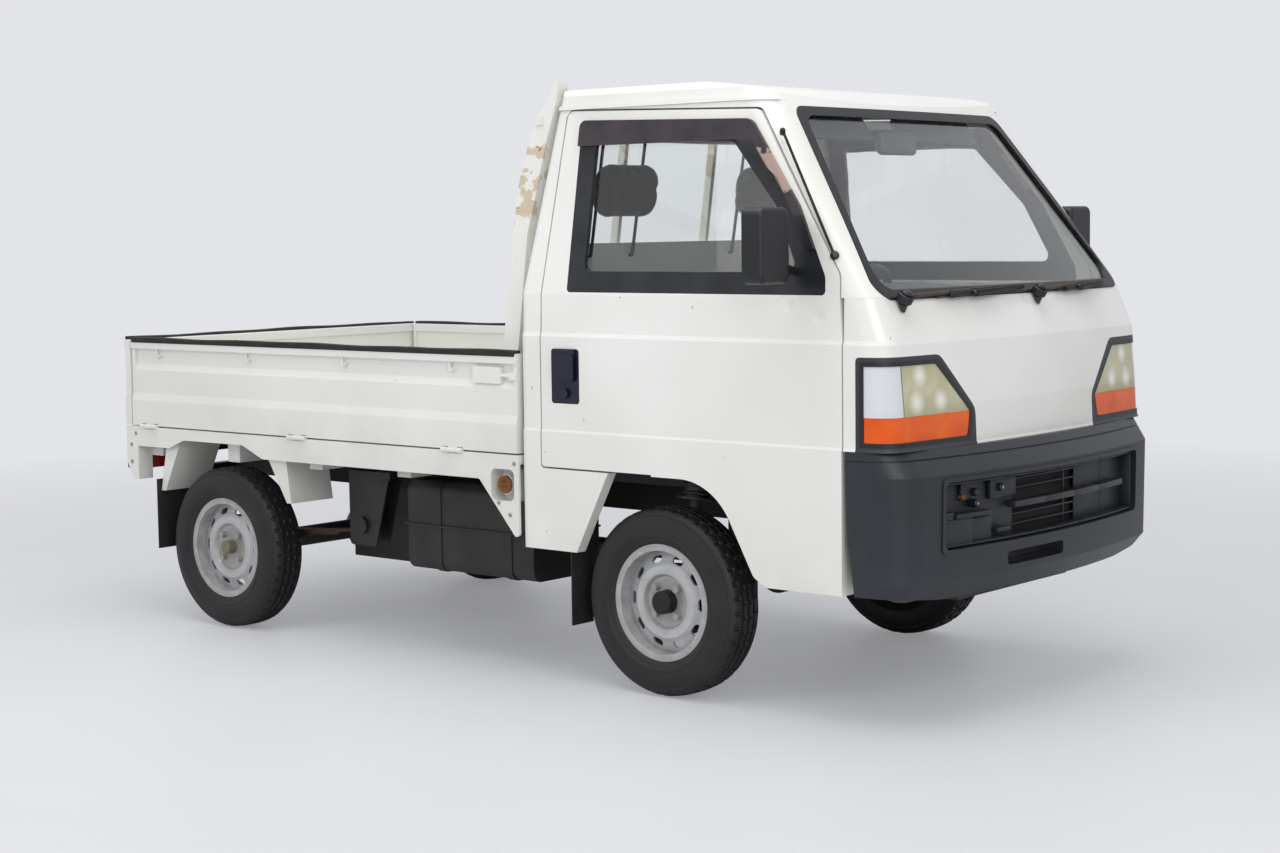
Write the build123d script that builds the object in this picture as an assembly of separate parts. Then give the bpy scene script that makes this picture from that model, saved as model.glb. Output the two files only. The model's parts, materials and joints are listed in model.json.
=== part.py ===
from build123d import *
import os
from math import atan2, cos, degrees, pi, radians, sin, sqrt

# A small cab-over pickup truck with drop sides, at its real size in millimetres.
# +X is the front, +Y the left side and +Z up. The origin is on the ground, at the
# middle of the length and of the width. Right and left pieces mirror each other.

os.makedirs("parts", exist_ok=True)

# Overall sizes
overall_length = 3295.0
cab_width = 1395.0
front_overhang = 907.0
rear_overhang = 488.0
nose_x = overall_length / 2
tail_x = -overall_length / 2
front_axle_x = nose_x - front_overhang
rear_axle_x = tail_x + rear_overhang
cab_half = cab_width / 2

# Clearances and small values shared by many pieces
panel_gap = 5.0
seat_gap = 0.3
overrun = 20.0
plate_wall = 8.0
edge_round = 12.0

# Wheels and tyres
tyre_radius = 271.0
tyre_width = 145.0
tyre_shoulder = 26.0
rim_radius = 168.0
rim_seat_radius = 155.0
rim_width = 112.0
rim_wall = 6.0
rim_lip = 9.0
disc_wall = 7.0
front_track_half = 605.0
rear_track_half = 612.0
vent_count = 10
vent_radius = 124.0
vent_width = 20.0
vent_length = 38.0
nut_count = 4
nut_circle_radius = 55.0
nut_radius = 10.0
nut_height = 16.0
front_cap_radius = 33.5
rear_cap_radius = 22.0
cap_height = 34.0
cap_wall = 4.0
cap_dome = 6.0
stub_radius = 17.0
bearing_play = 0.05

# Cab body: heights of its creases, and how it narrows upwards
sill_z = 357.0
lower_crease_z = 750.0
crease_height = 8.0
crease_depth = 3.0
nose_bulge_z = 853.0
upper_crease_z = 1031.0
upper_crease_height = 12.0
upper_crease_depth = 4.5
belt_z = 1142.0
rail_z = 1672.0
roof_edge_z = 1690.0
roof_shoulder_z = 1733.0
roof_top_z = 1745.0
belt_half = 687.0
rail_half = 612.0
shoulder_half = 560.0
shoulder_swell = 9.0
nose_low_x = nose_x - 64.5
nose_mid_x = nose_x - 67.5
nose_bulge_x = nose_x - 75.5
nose_crease_x = nose_x - 90.5
screen_base_x = nose_x - 140.5
screen_top_x = nose_x - 527.5
roof_front_x = nose_x - 587.5
roof_front_z = 1704.0
roof_bend_x = nose_x - 706.5
roof_bend_z = 1722.0
roof_crown_x = nose_x - 1117.5
roof_back_z = 1737.0
nose_bow_radius = 6500.0
corner_radius = 74.0
rear_corner_radius = 32.0
least_radius = 3.0
cab_back_x = nose_x - 1410.5
cab_back_top_x = cab_back_x + 101.0
cab_wall = 38.0
skin_wall = 14.0
drip_rail_out = 6.0
drip_rail_height = 12.0

# Door outline and wheel opening
door_back_x = cab_back_x + 85.0
door_back_top_x = cab_back_x + 135.0
door_front_x = nose_x - 253.5
door_shoulder_x = nose_x - 268.5
door_shoulder_z = 1200.0
door_peak_x = nose_x - 575.0
door_peak_z = 1652.0
door_step_z = 634.0
door_top_z = 1674.0
door_wall = 58.0
door_round = 26.0
opening_back_z = 395.0
opening_back_x = front_axle_x - 282.5
opening_head_x = front_axle_x - 159.5
opening_peak_x = front_axle_x + 219.5
opening_foot_x = front_axle_x + 357.5
opening_foot_z = 382.0
opening_toe_x = front_axle_x + 402.5
opening_peak_round = 200.0
opening_foot_round = 34.0

# Cargo bed
hinge_radius = 8.0
hinge_stand = 2.5
hinge_pin_radius = 4.0
hinge_z = 667.0
knuckle_length = 40.0
knuckle_gap = 1.0
bed_back_x = tail_x + hinge_radius + hinge_stand
bed_front_x = cab_back_x - panel_gap
bed_half = 697.5
bed_floor_z = 665.0
bed_floor_wall = 24.0
gate_low_z = 670.0
gate_top_z = 965.0
gate_wall = 32.0
front_wall_x = cab_back_x - 112.0
front_wall_thickness = 62.0

# Chassis
frame_half = 300.0
frame_width = 50.0
frame_height = 90.0
frame_top_z = 560.0


def block(x0, x1, y0, y1, z0, z1):
    """A box between two corners."""
    lo = Vector(min(x0, x1), min(y0, y1), min(z0, z1))
    hi = Vector(max(x0, x1), max(y0, y1), max(z0, z1))
    size = hi - lo
    middle = (lo + hi) * (1 / 2)
    return Pos(middle.X, middle.Y, middle.Z) * Box(size.X, size.Y, size.Z)


def outline_face(points):
    """A closed outline of straight edges; a point's third value rounds its corner."""
    count = len(points)
    edges = []
    starts = []
    ends = []
    for index, point in enumerate(points):
        corner = Vector(point[0], point[1])
        radius = point[2] if len(point) > 2 else 0
        if radius == 0:
            starts.append(corner)
            ends.append(corner)
            continue
        before = Vector(*points[index - 1][:2])
        after = Vector(*points[(index + 1) % count][:2])
        to_before = (before - corner).normalized()
        to_after = (after - corner).normalized()
        inward = (to_before + to_after).normalized()
        half_cos = inward.dot(to_before)
        half_sin = sqrt(1 - half_cos**2)
        reach = radius * half_cos / half_sin
        first = corner + to_before * reach
        last = corner + to_after * reach
        middle = corner + inward * (radius / half_sin - radius)
        edges.append(ThreePointArc(first, middle, last))
        starts.append(first)
        ends.append(last)
    for index in range(count):
        edges.append(Line(ends[index], starts[(index + 1) % count]))
    return make_face(Wire(edges))


def side_plate(points, y0, y1):
    """An outline in X and Z, pushed across from y0 to y1."""
    face = Plane.XZ * outline_face(points)
    return Pos(0, y0, 0) * extrude(face, amount=y1 - y0, dir=(0, 1, 0))


def end_plate(points, x0, x1):
    """An outline in Y and Z, pushed along from x0 to x1."""
    face = Plane.YZ * outline_face(points)
    return Pos(x0, 0, 0) * extrude(face, amount=x1 - x0, dir=(1, 0, 0))


def cross_rod(x, z, radius, y0, y1):
    """A round bar along Y."""
    rod = Cylinder(radius, abs(y1 - y0))
    return Pos(x, (y0 + y1) / 2, z) * Rot(90, 0, 0) * rod


def long_rod(y, z, radius, x0, x1):
    """A round bar along X."""
    rod = Cylinder(radius, abs(x1 - x0))
    return Pos((x0 + x1) / 2, y, z) * Rot(0, 90, 0) * rod


def rod_between(start, end, radius):
    """A round bar from one point to another."""
    a = Vector(*start)
    b = Vector(*end)
    return Plane(origin=a, z_dir=b - a) * Pos(0, 0, (b - a).length / 2) * Cylinder(radius, (b - a).length)


def mirrored(shape):
    """The same piece on the left side."""
    return mirror(shape, about=Plane.XZ)


def keep(name, shape):
    """Write one piece to its own file."""
    solids = shape.solids()
    whole = solids[0] if len(solids) == 1 else Compound(children=list(solids))
    export_step(whole, "parts/" + name + ".step")


def keep_both(name, right):
    """Write a right piece and its mirrored left one to one file."""
    solids = [*right.solids(), *mirrored(right).solids()]
    keep(name, Compound(children=solids))


def keep_pair(name, right):
    """Write a right piece and its mirrored left one."""
    keep(name + "_right", right)
    keep(name + "_left", mirrored(right))


# Cab shape: level outlines with a bowed nose and rounded corners, joined upwards
def level_outline(station, inset, bow, corner):
    """One outline at a height; the inset draws it in all round."""
    z, back, nose, half = station
    centre_x = nose - bow
    corner_y = half - corner
    corner_x = centre_x + sqrt((bow - corner) ** 2 - corner_y**2)
    turn = atan2(corner_y, corner_x - centre_x)
    halfway = (turn + pi / 2) / 2
    round_radius = max(corner - inset, least_radius)
    side_y = half - inset
    centre_y = side_y - round_radius
    bow_radius = bow - inset
    centre_of_round = centre_x + sqrt((bow_radius - round_radius) ** 2 - centre_y**2)
    turn = atan2(centre_y, centre_of_round - centre_x)
    halfway = (turn + pi / 2) / 2
    tangent = (centre_of_round, side_y)
    corner_mid = (centre_of_round + round_radius * cos(halfway), centre_y + round_radius * sin(halfway))
    bow_end = (centre_x + bow_radius * cos(turn), bow_radius * sin(turn))
    bow_mid = (centre_x + bow_radius, 0)
    back_x = back + inset
    rear_round = max(rear_corner_radius - inset, least_radius)
    rear_side = (back_x + rear_round, side_y)
    rear_mid = (back_x + rear_round - rear_round * sin(pi / 4), side_y - rear_round + rear_round * cos(pi / 4))
    rear_back = (back_x, side_y - rear_round)
    right = [
        ThreePointArc(flip(rear_back), flip(rear_mid), flip(rear_side)),
        Line(flip(rear_side), flip(tangent)),
        ThreePointArc(flip(tangent), flip(corner_mid), flip(bow_end)),
    ]
    left = [
        ThreePointArc(bow_end, corner_mid, tangent),
        Line(tangent, rear_side),
        ThreePointArc(rear_side, rear_mid, rear_back),
    ]
    front = ThreePointArc(flip(bow_end), bow_mid, bow_end)
    rear = Line(rear_back, flip(rear_back))
    return Pos(0, 0, z) * make_face(Wire([*right, front, *left, rear]))


def flip(point):
    """The same point on the right side."""
    return (point[0], -point[1])


back_slope = (cab_back_top_x - cab_back_x) / (roof_back_z - belt_z)
screen_slope = (screen_base_x - screen_top_x) / (rail_z - belt_z)
side_slope = (belt_half - rail_half) / (rail_z - belt_z)
hull_top_z = roof_top_z + overrun * 2
hull_rise = hull_top_z - rail_z
ledge_half = cab_half - crease_depth
crease_half = ledge_half - upper_crease_depth
# Columns: height, back, nose, half width
cab_stations = [
    (sill_z, cab_back_x, nose_low_x, cab_half),
    (lower_crease_z - crease_height, cab_back_x, nose_mid_x, cab_half),
    (lower_crease_z, cab_back_x, nose_mid_x - crease_depth, ledge_half),
    (nose_bulge_z, cab_back_x, nose_bulge_x, ledge_half),
    (upper_crease_z - upper_crease_height, cab_back_x, nose_crease_x, ledge_half),
    (upper_crease_z, cab_back_x, nose_crease_x - upper_crease_depth, crease_half),
    (belt_z, cab_back_x, screen_base_x, belt_half),
    (rail_z, cab_back_x + (rail_z - belt_z) * back_slope, screen_top_x, rail_half),
    (
        hull_top_z,
        cab_back_x + (hull_top_z - belt_z) * back_slope,
        screen_top_x - hull_rise * screen_slope,
        rail_half - hull_rise * side_slope,
    ),
]


def cab_form(inset):
    """The cab's closed form, drawn in from its outer skin by the inset."""
    outlines = [level_outline(station, inset, nose_bow_radius, corner_radius) for station in cab_stations]
    hull = loft(outlines, ruled=True)
    edge_half = rail_half + panel_gap - inset
    edge_z = roof_edge_z - inset
    shoulder_y = shoulder_half - inset / 2
    shoulder_z = roof_shoulder_z - inset
    swell_y = (edge_half + shoulder_y) / 2 + shoulder_swell
    swell_z = (edge_z + shoulder_z) / 2 + shoulder_swell
    across = [
        Line((-cab_width, 0), (cab_width, 0)),
        Line((cab_width, 0), (cab_width, edge_z)),
        Line((cab_width, edge_z), (edge_half, edge_z)),
        ThreePointArc((edge_half, edge_z), (swell_y, swell_z), (shoulder_y, shoulder_z)),
        ThreePointArc((shoulder_y, shoulder_z), (0, roof_top_z - inset), (-shoulder_y, shoulder_z)),
        ThreePointArc((-shoulder_y, shoulder_z), (-swell_y, swell_z), (-edge_half, edge_z)),
        Line((-edge_half, edge_z), (-cab_width, edge_z)),
        Line((-cab_width, edge_z), (-cab_width, 0)),
    ]
    roof_across = extrude(Plane.YZ * make_face(Wire(across)), amount=overall_length, dir=(1, 0, 0))
    back_z = roof_back_z - inset
    back_x = cab_back_x - overrun * 2
    top_back = (cab_back_top_x, back_z)
    front_edge = (screen_top_x, rail_z - inset)
    front_far = (nose_x + overrun, rail_z - inset)
    along = [
        Line((back_x, 0), (back_x, back_z)),
        Line((back_x, back_z), top_back),
        ThreePointArc(top_back, (roof_crown_x, roof_top_z - inset), (roof_bend_x, roof_bend_z - inset)),
        Line((roof_bend_x, roof_bend_z - inset), (roof_front_x, roof_front_z - inset)),
        Line((roof_front_x, roof_front_z - inset), front_edge),
        Line(front_edge, front_far),
        Line(front_far, (nose_x + overrun, 0)),
        Line((nose_x + overrun, 0), (back_x, 0)),
    ]
    roof_along = extrude(Plane.XZ * make_face(Wire(along)), amount=cab_width * 2, dir=(0, 1, 0))
    return (hull & roof_across) & (Pos(0, -cab_width, 0) * roof_along)


outer_form = cab_form(0)
middle_form = cab_form(skin_wall)
inner_form = cab_form(cab_wall)
door_inner_form = cab_form(door_wall)
cab_shell = outer_form - inner_form
trim_skin = outer_form - middle_form


def nose_at(y, z):
    """Place of the cab's front skin, between the belt and the rail or the crease."""
    rise = z - belt_z
    run = screen_slope if rise > 0 else (nose_crease_x - screen_base_x) / (belt_z - upper_crease_z)
    return screen_base_x - rise * run - nose_bow_radius + sqrt(nose_bow_radius**2 - y**2)


# Wheel opening and door outline
wheel_opening = side_plate(
    [
        (opening_back_x, 0),
        (opening_back_x, opening_back_z, edge_round),
        (opening_head_x, door_step_z, edge_round),
        (opening_peak_x, door_step_z, opening_peak_round),
        (opening_foot_x, opening_foot_z, opening_foot_round),
        (opening_toe_x, sill_z),
        (opening_toe_x, 0),
    ],
    -cab_width,
    cab_width,
)


def door_outline(gap):
    """Outline of the door; a gap makes it smaller than its opening."""
    return [
        (door_back_x + gap, door_step_z + gap, edge_round),
        (door_back_x + gap, belt_z),
        (door_back_top_x + gap, door_top_z - gap, door_round),
        (door_peak_x - gap, door_peak_z - gap, door_round),
        (door_shoulder_x - gap, door_shoulder_z, door_round * 2),
        (door_front_x - gap, upper_crease_z, door_round),
        (door_front_x - gap, sill_z),
        (front_axle_x, sill_z),
        (front_axle_x, door_step_z + gap),
    ]


def right_prism(points):
    return side_plate(points, -cab_width, -rail_half + door_wall)


door_hole = right_prism(door_outline(0))
door_cut = door_hole + mirrored(door_hole)
door_form = right_prism(door_outline(panel_gap)) - wheel_opening

# Window opening in the door, with the black trim and rain visor round the glass
window_low_z = 1148.0
window_back_x = cab_back_x + 186.0
window_back_top_x = cab_back_x + 196.0
window_top_z = 1640.0
window_top_front_z = 1622.0
window_peak_x = nose_x - 597.5
window_bend_x = nose_x - 416.5
window_bend_z = 1385.0
window_knee_x = nose_x - 318.5
window_knee_z = 1196.0
window_front_x = nose_x - 314.5
window_round = 22.0
window_peak_round = 44.0
trim_side = 60.0
visor_out = 11.0
visor_width = 74.0
# Columns: place along, height, rounding
window_edge = [
    (window_back_x, window_low_z, edge_round),
    (window_back_top_x, window_top_z, window_round),
    (window_peak_x, window_top_front_z, window_peak_round),
    (window_bend_x, window_bend_z),
    (window_knee_x, window_knee_z, window_peak_round),
    (window_front_x, window_low_z, edge_round),
]
glass_edge = [
    (window_back_x + trim_side, window_low_z + trim_side, window_round),
    (window_back_top_x + trim_side, window_top_z - trim_side, window_round),
    (window_peak_x - trim_side, window_top_front_z - trim_side, window_round),
    (window_bend_x - trim_side * 4 / 3, window_bend_z),
    (window_knee_x - trim_side * 3 / 2, window_low_z + trim_side, window_round),
]
window_hole = right_prism(window_edge)
glass_hole = right_prism(glass_edge)
glass_face = Plane.XZ * offset(outline_face(glass_edge), amount=panel_gap)
glass_form = Pos(0, -cab_width, 0) * extrude(
    glass_face, amount=cab_width - rail_half + door_wall, dir=(0, 1, 0)
)

# Outside handle with its key lock, let into the door
handle_x0 = cab_back_x + 130.0
handle_x1 = cab_back_x + 237.0
handle_z0 = 826.0
handle_z1 = 985.0
handle_round = 10.0
handle_wall = 8.0
handle_out = 12.0
grip_side = 14.0
grip_low_z = 892.0
lock_radius = 15.0
lock_z = 856.0
handle_frame = right_prism(
    [
        (handle_x0, handle_z0, handle_round),
        (handle_x0, handle_z1, handle_round),
        (handle_x1, handle_z1, handle_round),
        (handle_x1, handle_z0, handle_round),
    ]
)
grip_prism = right_prism(
    [
        (handle_x0 + grip_side, grip_low_z, handle_round),
        (handle_x0 + grip_side, handle_z1 - grip_side, handle_round),
        (handle_x1 - grip_side, handle_z1 - grip_side, handle_round),
        (handle_x1 - grip_side, grip_low_z, handle_round),
    ]
)
handle_band = outer_form - cab_form(handle_wall)
handle_pocket = (cab_form(-handle_out) - cab_form(handle_wall + seat_gap)) & handle_frame
lock_x = (handle_x0 + handle_x1) / 2
lock_stub = cross_rod(lock_x, lock_z, lock_radius, -cab_half - handle_out / 2, -cab_half + handle_wall)
handle_grip = (cab_form(-handle_out) - cab_form(-handle_out / 3)) & grip_prism
grip_root = block(handle_x0 + grip_side, handle_x1 - grip_side, -cab_width, 0, handle_z1 - grip_side * 2, handle_z1)
handle_grip = handle_grip + ((cab_form(-handle_out / 2) & grip_root & handle_frame) - outer_form)
handle = ((handle_band & handle_frame) - lock_stub) + handle_grip + (lock_stub - cab_form(handle_wall))
keep_pair("door_handle", handle)

door_band = outer_form - door_inner_form
door_upper = block(0, nose_x, -cab_width, 0, belt_z, hull_top_z)
door_right = ((door_band - door_upper) + (cab_shell & door_upper)) & door_form
door_right = door_right - window_hole - handle_pocket
keep_pair("door", door_right)

glass_wall = 4.0
visor_band = cab_form(-visor_out) - outer_form
visor_zone = block(0, nose_x, -cab_width, 0, window_top_z - visor_width, hull_top_z)
visor_front = side_plate(
    [
        (window_peak_x - visor_width * 2, window_top_z),
        (window_peak_x, window_top_z),
        (window_front_x, window_knee_z + visor_width),
        (window_front_x - visor_width, window_knee_z + visor_width),
        (window_bend_x - visor_width, window_bend_z + visor_width),
    ],
    -cab_width,
    0,
)
window_trim = (trim_skin & window_hole) - glass_hole
visor = (visor_band & window_hole) & (visor_zone + visor_front)
keep_pair("window_trim", window_trim + visor)
glass_band = cab_form(skin_wall + seat_gap) - cab_form(skin_wall + seat_gap + glass_wall)
window_glass = glass_band & glass_form
keep_pair("door_glass", window_glass)

# Windscreen in its black rubber seal
screen_low_half = 652.0
screen_high_half = 520.0
screen_low_z = belt_z - 8.0
screen_high_z = 1657.0
screen_round = 46.0
seal_side = 26.0
seal_out = 3.0
screen_wall = 6.0
screen_inset = 8.0


def screen_prism(side):
    """The windscreen's outline pushed along, drawn in by the side."""
    return end_plate(
        [
            (-screen_low_half + side, screen_low_z + side, screen_round),
            (screen_low_half - side, screen_low_z + side, screen_round),
            (screen_high_half - side, screen_high_z - side, screen_round),
            (-screen_high_half + side, screen_high_z - side, screen_round),
        ],
        front_axle_x,
        nose_x,
    )


screen_hole = screen_prism(0)
screen_zone = block(screen_top_x - cab_wall * 3, nose_x, -cab_half, cab_half, screen_low_z, screen_high_z)
seal_band = cab_form(-seal_out) - cab_form(skin_wall + plate_wall)
glass_slot = cab_form(screen_inset - seat_gap) - cab_form(screen_inset + screen_wall + seat_gap)
seal = ((seal_band & screen_prism(seat_gap)) - screen_prism(seal_side)) & screen_zone
seal = seal - (glass_slot & screen_prism(seal_side / 2))
keep("screen_seal", seal)
windscreen = cab_form(screen_inset) - cab_form(screen_inset + screen_wall)
windscreen = (windscreen & screen_prism(seal_side / 2 + seat_gap)) & screen_zone
keep("windscreen", windscreen)

# Cab panels cut from the shell
front_zone = block(door_front_x, nose_x, -cab_width, cab_width, lower_crease_z - crease_height, belt_z - seat_gap)
front_panel_raw = (cab_shell & front_zone) - door_cut - screen_hole
roof_zone = block(0, nose_x, -cab_width, cab_width, rail_z, hull_top_z)
side_zone_low = block(0, opening_peak_x, -cab_width, cab_width, opening_back_z, rail_z - seat_gap)
side_zone_high = block(0, nose_x, -cab_width, cab_width, belt_z, rail_z - seat_gap)
back_half = rail_half - cab_wall - panel_gap
back_low_z = bed_floor_z - bed_floor_wall
back_zone = side_plate(
    [
        (cab_back_x - overrun, back_low_z),
        (cab_back_x + cab_wall, back_low_z),
        (cab_back_x + cab_wall, belt_z),
        (cab_back_x + cab_wall + (rail_z - belt_z) * back_slope, rail_z - seat_gap),
        (cab_back_x - overrun, rail_z - seat_gap),
    ],
    -back_half,
    back_half,
)
header_zone = block(front_axle_x, nose_x, -screen_high_half, screen_high_half, screen_high_z, rail_z)
rear_window_half = 520.0
rear_window_low_z = 1285.0
rear_window_high_z = 1590.0
rear_window_round = 40.0


def rear_prism(side):
    """The rear window's outline pushed along, drawn in by the side."""
    return end_plate(
        [
            (-rear_window_half + side, rear_window_low_z + side, rear_window_round),
            (rear_window_half - side, rear_window_low_z + side, rear_window_round),
            (rear_window_half - side, rear_window_high_z - side, rear_window_round),
            (-rear_window_half + side, rear_window_high_z - side, rear_window_round),
        ],
        0,
        front_axle_x,
    )


cab_back = (cab_shell & back_zone) - rear_prism(0)
keep("cab_back", cab_back)
rear_window_wall = 5.0
rear_window_inset = 12.0
rear_window = (cab_form(rear_window_inset) - cab_form(rear_window_inset + rear_window_wall)) & back_zone
keep("rear_window", rear_window & rear_prism(0))

cab_side = cab_shell & block(0, nose_x, -cab_width, 0, 0, rail_z - seat_gap)
cab_side = cab_side & (side_zone_low + side_zone_high)
cab_side = cab_side - door_hole - wheel_opening - back_zone - screen_hole - header_zone
cab_side = cab_side - block(0, door_back_x - panel_gap, -back_half, 0, 0, back_low_z)
keep_pair("cab_side", cab_side)
drip_zone = block(cab_back_x, screen_top_x, -cab_width, -shoulder_half, rail_z, rail_z + drip_rail_height)
drip_rail = (cab_form(-drip_rail_out) - outer_form) & drip_zone
roof_panel = (cab_shell & (roof_zone + header_zone)) + drip_rail + mirrored(drip_rail)
keep("roof_panel", roof_panel)

# Lamps in the front corners: black bezel, pale lens above and amber strip below
lamp_side_x = nose_x - 203.5
lamp_inner_half = 345.0
lamp_bend_half = 330.0
lamp_low_z = 754.0
lamp_bend_z = 830.0
lamp_top_half = 470.0
lamp_top_z = 977.0
lamp_outer_half = cab_half + overrun
bezel_width = 12.0
bezel_depth = 30.0
lens_inset = 3.0
lens_depth = 28.0
indicator_top_z = 832.0


def lamp_outline(side, low_z, top_z):
    """Lamp outline in Y and Z on the right; the side draws it in."""
    return [
        (-lamp_outer_half, low_z + side),
        (-lamp_inner_half - side, low_z + side, edge_round),
        (-lamp_bend_half - side, lamp_bend_z, edge_round),
        (-lamp_top_half - side, top_z - side, edge_round * 2),
        (-lamp_outer_half, top_z - side),
    ]


lamp_hole = end_plate(lamp_outline(0, lamp_low_z, lamp_top_z), lamp_side_x, nose_x)
lens_x = lamp_side_x + bezel_width
lens_hole = end_plate(lamp_outline(bezel_width, lamp_low_z, lamp_top_z), lens_x, nose_x)
bezel_band = outer_form - cab_form(bezel_depth)
lens_band = cab_form(lens_inset) - cab_form(lens_depth)
bezel = (bezel_band & lamp_hole) - lens_hole
keep_both("lamp_bezels", bezel)
lens_zone = block(0, nose_x, -cab_width, 0, indicator_top_z, lamp_top_z)
indicator_zone = block(0, nose_x, -cab_width, 0, lamp_low_z, indicator_top_z - seat_gap)
lens_whole = lens_band & lens_hole
keep_both("headlamps", lens_whole & lens_zone)
keep_both("indicators", lens_whole & indicator_zone)
front_panel = front_panel_raw - lamp_hole - mirrored(lamp_hole)
keep("front_panel", front_panel)

# Bumper: a wrapped shell with a lipped grille mouth, a lower slot and a seam
bumper_back_x = nose_x - 246.5
bumper_mid_back_x = nose_x - 238.5
bumper_low_back_x = nose_x - 213.5
bumper_low_z = 336.0
bumper_end_z = 362.0
bumper_mid_z = 510.0
bumper_level_half = 480.0
bumper_top_z = lower_crease_z - crease_height - seat_gap
bumper_wall = 26.0
bumper_shoulder_z = 676.0
bumper_lip_z = 392.0
bumper_top_nose = nose_x - 45.5
bumper_low_nose = nose_x - 56.5
bumper_bow_radius = 3200.0
bumper_corner_radius = 112.0
seam_z = 716.0
seam_wall = 4.0
mouth_half = 525.0
mouth_low_z = 475.0
mouth_top_z = 655.0
mouth_round = 18.0
mouth_lip = 12.0
mouth_lip_out = 4.0
slot_right_y = -258.0
slot_left_y = 25.0
slot_low_z = 408.0
slot_top_z = 445.0
# Columns: height, nose
bumper_stations = [
    (bumper_low_z, bumper_low_nose),
    (bumper_lip_z, nose_x - mouth_lip_out * 2),
    (bumper_shoulder_z, nose_x - mouth_lip_out),
    (bumper_top_z, bumper_top_nose),
]


def bumper_form(inset):
    """The bumper's closed form, drawn in from its outer face by the inset."""
    outlines = [
        level_outline((z, cab_back_x, nose, cab_half), inset, bumper_bow_radius, bumper_corner_radius)
        for z, nose in bumper_stations
    ]
    return loft(outlines, ruled=True)


def front_prism(half_right, half_left, z0, z1, rounding):
    """A rounded rectangle in Y and Z pushed along through the front."""
    return end_plate(
        [
            (half_right, z0, rounding),
            (half_left, z0, rounding),
            (half_left, z1, rounding),
            (half_right, z1, rounding),
        ],
        lamp_side_x,
        nose_x + overrun,
    )


bumper_outer = bumper_form(0)
bumper_side = side_plate(
    [
        (bumper_back_x, bumper_top_z + overrun),
        (bumper_mid_back_x, bumper_mid_z),
        (bumper_low_back_x, bumper_low_z - overrun),
        (nose_x + overrun, bumper_low_z - overrun),
        (nose_x + overrun, bumper_top_z + overrun),
    ],
    -cab_half,
    cab_half,
)
end_lift = end_plate(
    [
        (-cab_half - overrun, bumper_low_z - overrun),
        (-bumper_level_half, bumper_low_z - overrun),
        (-bumper_level_half, bumper_low_z),
        (-cab_half - overrun, bumper_end_z),
    ],
    0,
    nose_x,
)
mouth = front_prism(-mouth_half, mouth_half, mouth_low_z, mouth_top_z, mouth_round)
mouth_out = front_prism(
    -mouth_half - mouth_lip, mouth_half + mouth_lip, mouth_low_z - mouth_lip, mouth_top_z + mouth_lip, mouth_round
)
seam_zone = block(0, nose_x, -cab_width, cab_width, seam_z, seam_z + seam_wall)
bumper = (bumper_outer - bumper_form(bumper_wall)) & bumper_side
bumper = bumper + ((bumper_form(-mouth_lip_out) - bumper_form(bumper_wall / 2)) & mouth_out)
bumper = bumper - mouth - front_prism(slot_right_y, slot_left_y, slot_low_z, slot_top_z, edge_round)
bumper = bumper - end_lift - mirrored(end_lift) - ((bumper_outer - bumper_form(seam_wall)) & seam_zone)
keep("bumper", bumper)

# Grille in the mouth: upright ribs before a dark back plate, and one level bar
grille_face = 10.0
grille_rib_face = 22.0
grille_depth = 44.0
grille_back_wall = 4.0
grille_frame_side = 10.0
grille_bar_low_z = 556.0
grille_bar_top_z = 580.0
grille_rib_count = 25
grille_rib_width = 9.0
bumper_low_shoulder = nose_x - mouth_lip_out
grille_half = mouth_half - seat_gap
grille_low_z = mouth_low_z + seat_gap
grille_top_z = mouth_top_z - seat_gap
grille_round = mouth_round - seat_gap
grille_hole = front_prism(-grille_half, grille_half, grille_low_z, grille_top_z, grille_round)
grille_inner = front_prism(
    -grille_half + grille_frame_side,
    grille_half - grille_frame_side,
    grille_low_z + grille_frame_side,
    grille_top_z - grille_frame_side,
    edge_round,
)
grille_back_form = bumper_form(grille_depth)
grille_band = bumper_form(grille_face) - grille_back_form
grille_bar = block(lamp_side_x, nose_x, -grille_half, grille_half, grille_bar_low_z, grille_bar_top_z)
bar_band = bumper_form(grille_face) - bumper_form(grille_rib_face - seat_gap)
grille_back = (grille_back_form - bumper_form(grille_depth + grille_back_wall)) & grille_hole
grille = (grille_band & grille_hole) - grille_inner
grille = grille + [(bar_band & grille_bar), grille_back]
rib_step = grille_half * 2 / (grille_rib_count + 1)
rib_low_z = grille_low_z + grille_frame_side + seat_gap
rib_top_z = grille_top_z - grille_frame_side - seat_gap
ribs = []
for index in range(grille_rib_count):
    rib_y = -grille_half + rib_step * (index + 1)
    rib_nose = bumper_low_shoulder + (bumper_bow_radius**2 - rib_y**2) ** 0.5 - bumper_bow_radius
    ribs = ribs + [
        block(
            rib_nose - grille_depth + grille_back_wall,
            rib_nose - grille_rib_face - mouth_lip_out,
            rib_y - grille_rib_width / 2,
            rib_y + grille_rib_width / 2,
            rib_low_z,
            rib_top_z,
        )
    ]
grille = Compound(children=[*grille.solids(), *ribs])
keep("grille", grille)

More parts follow.
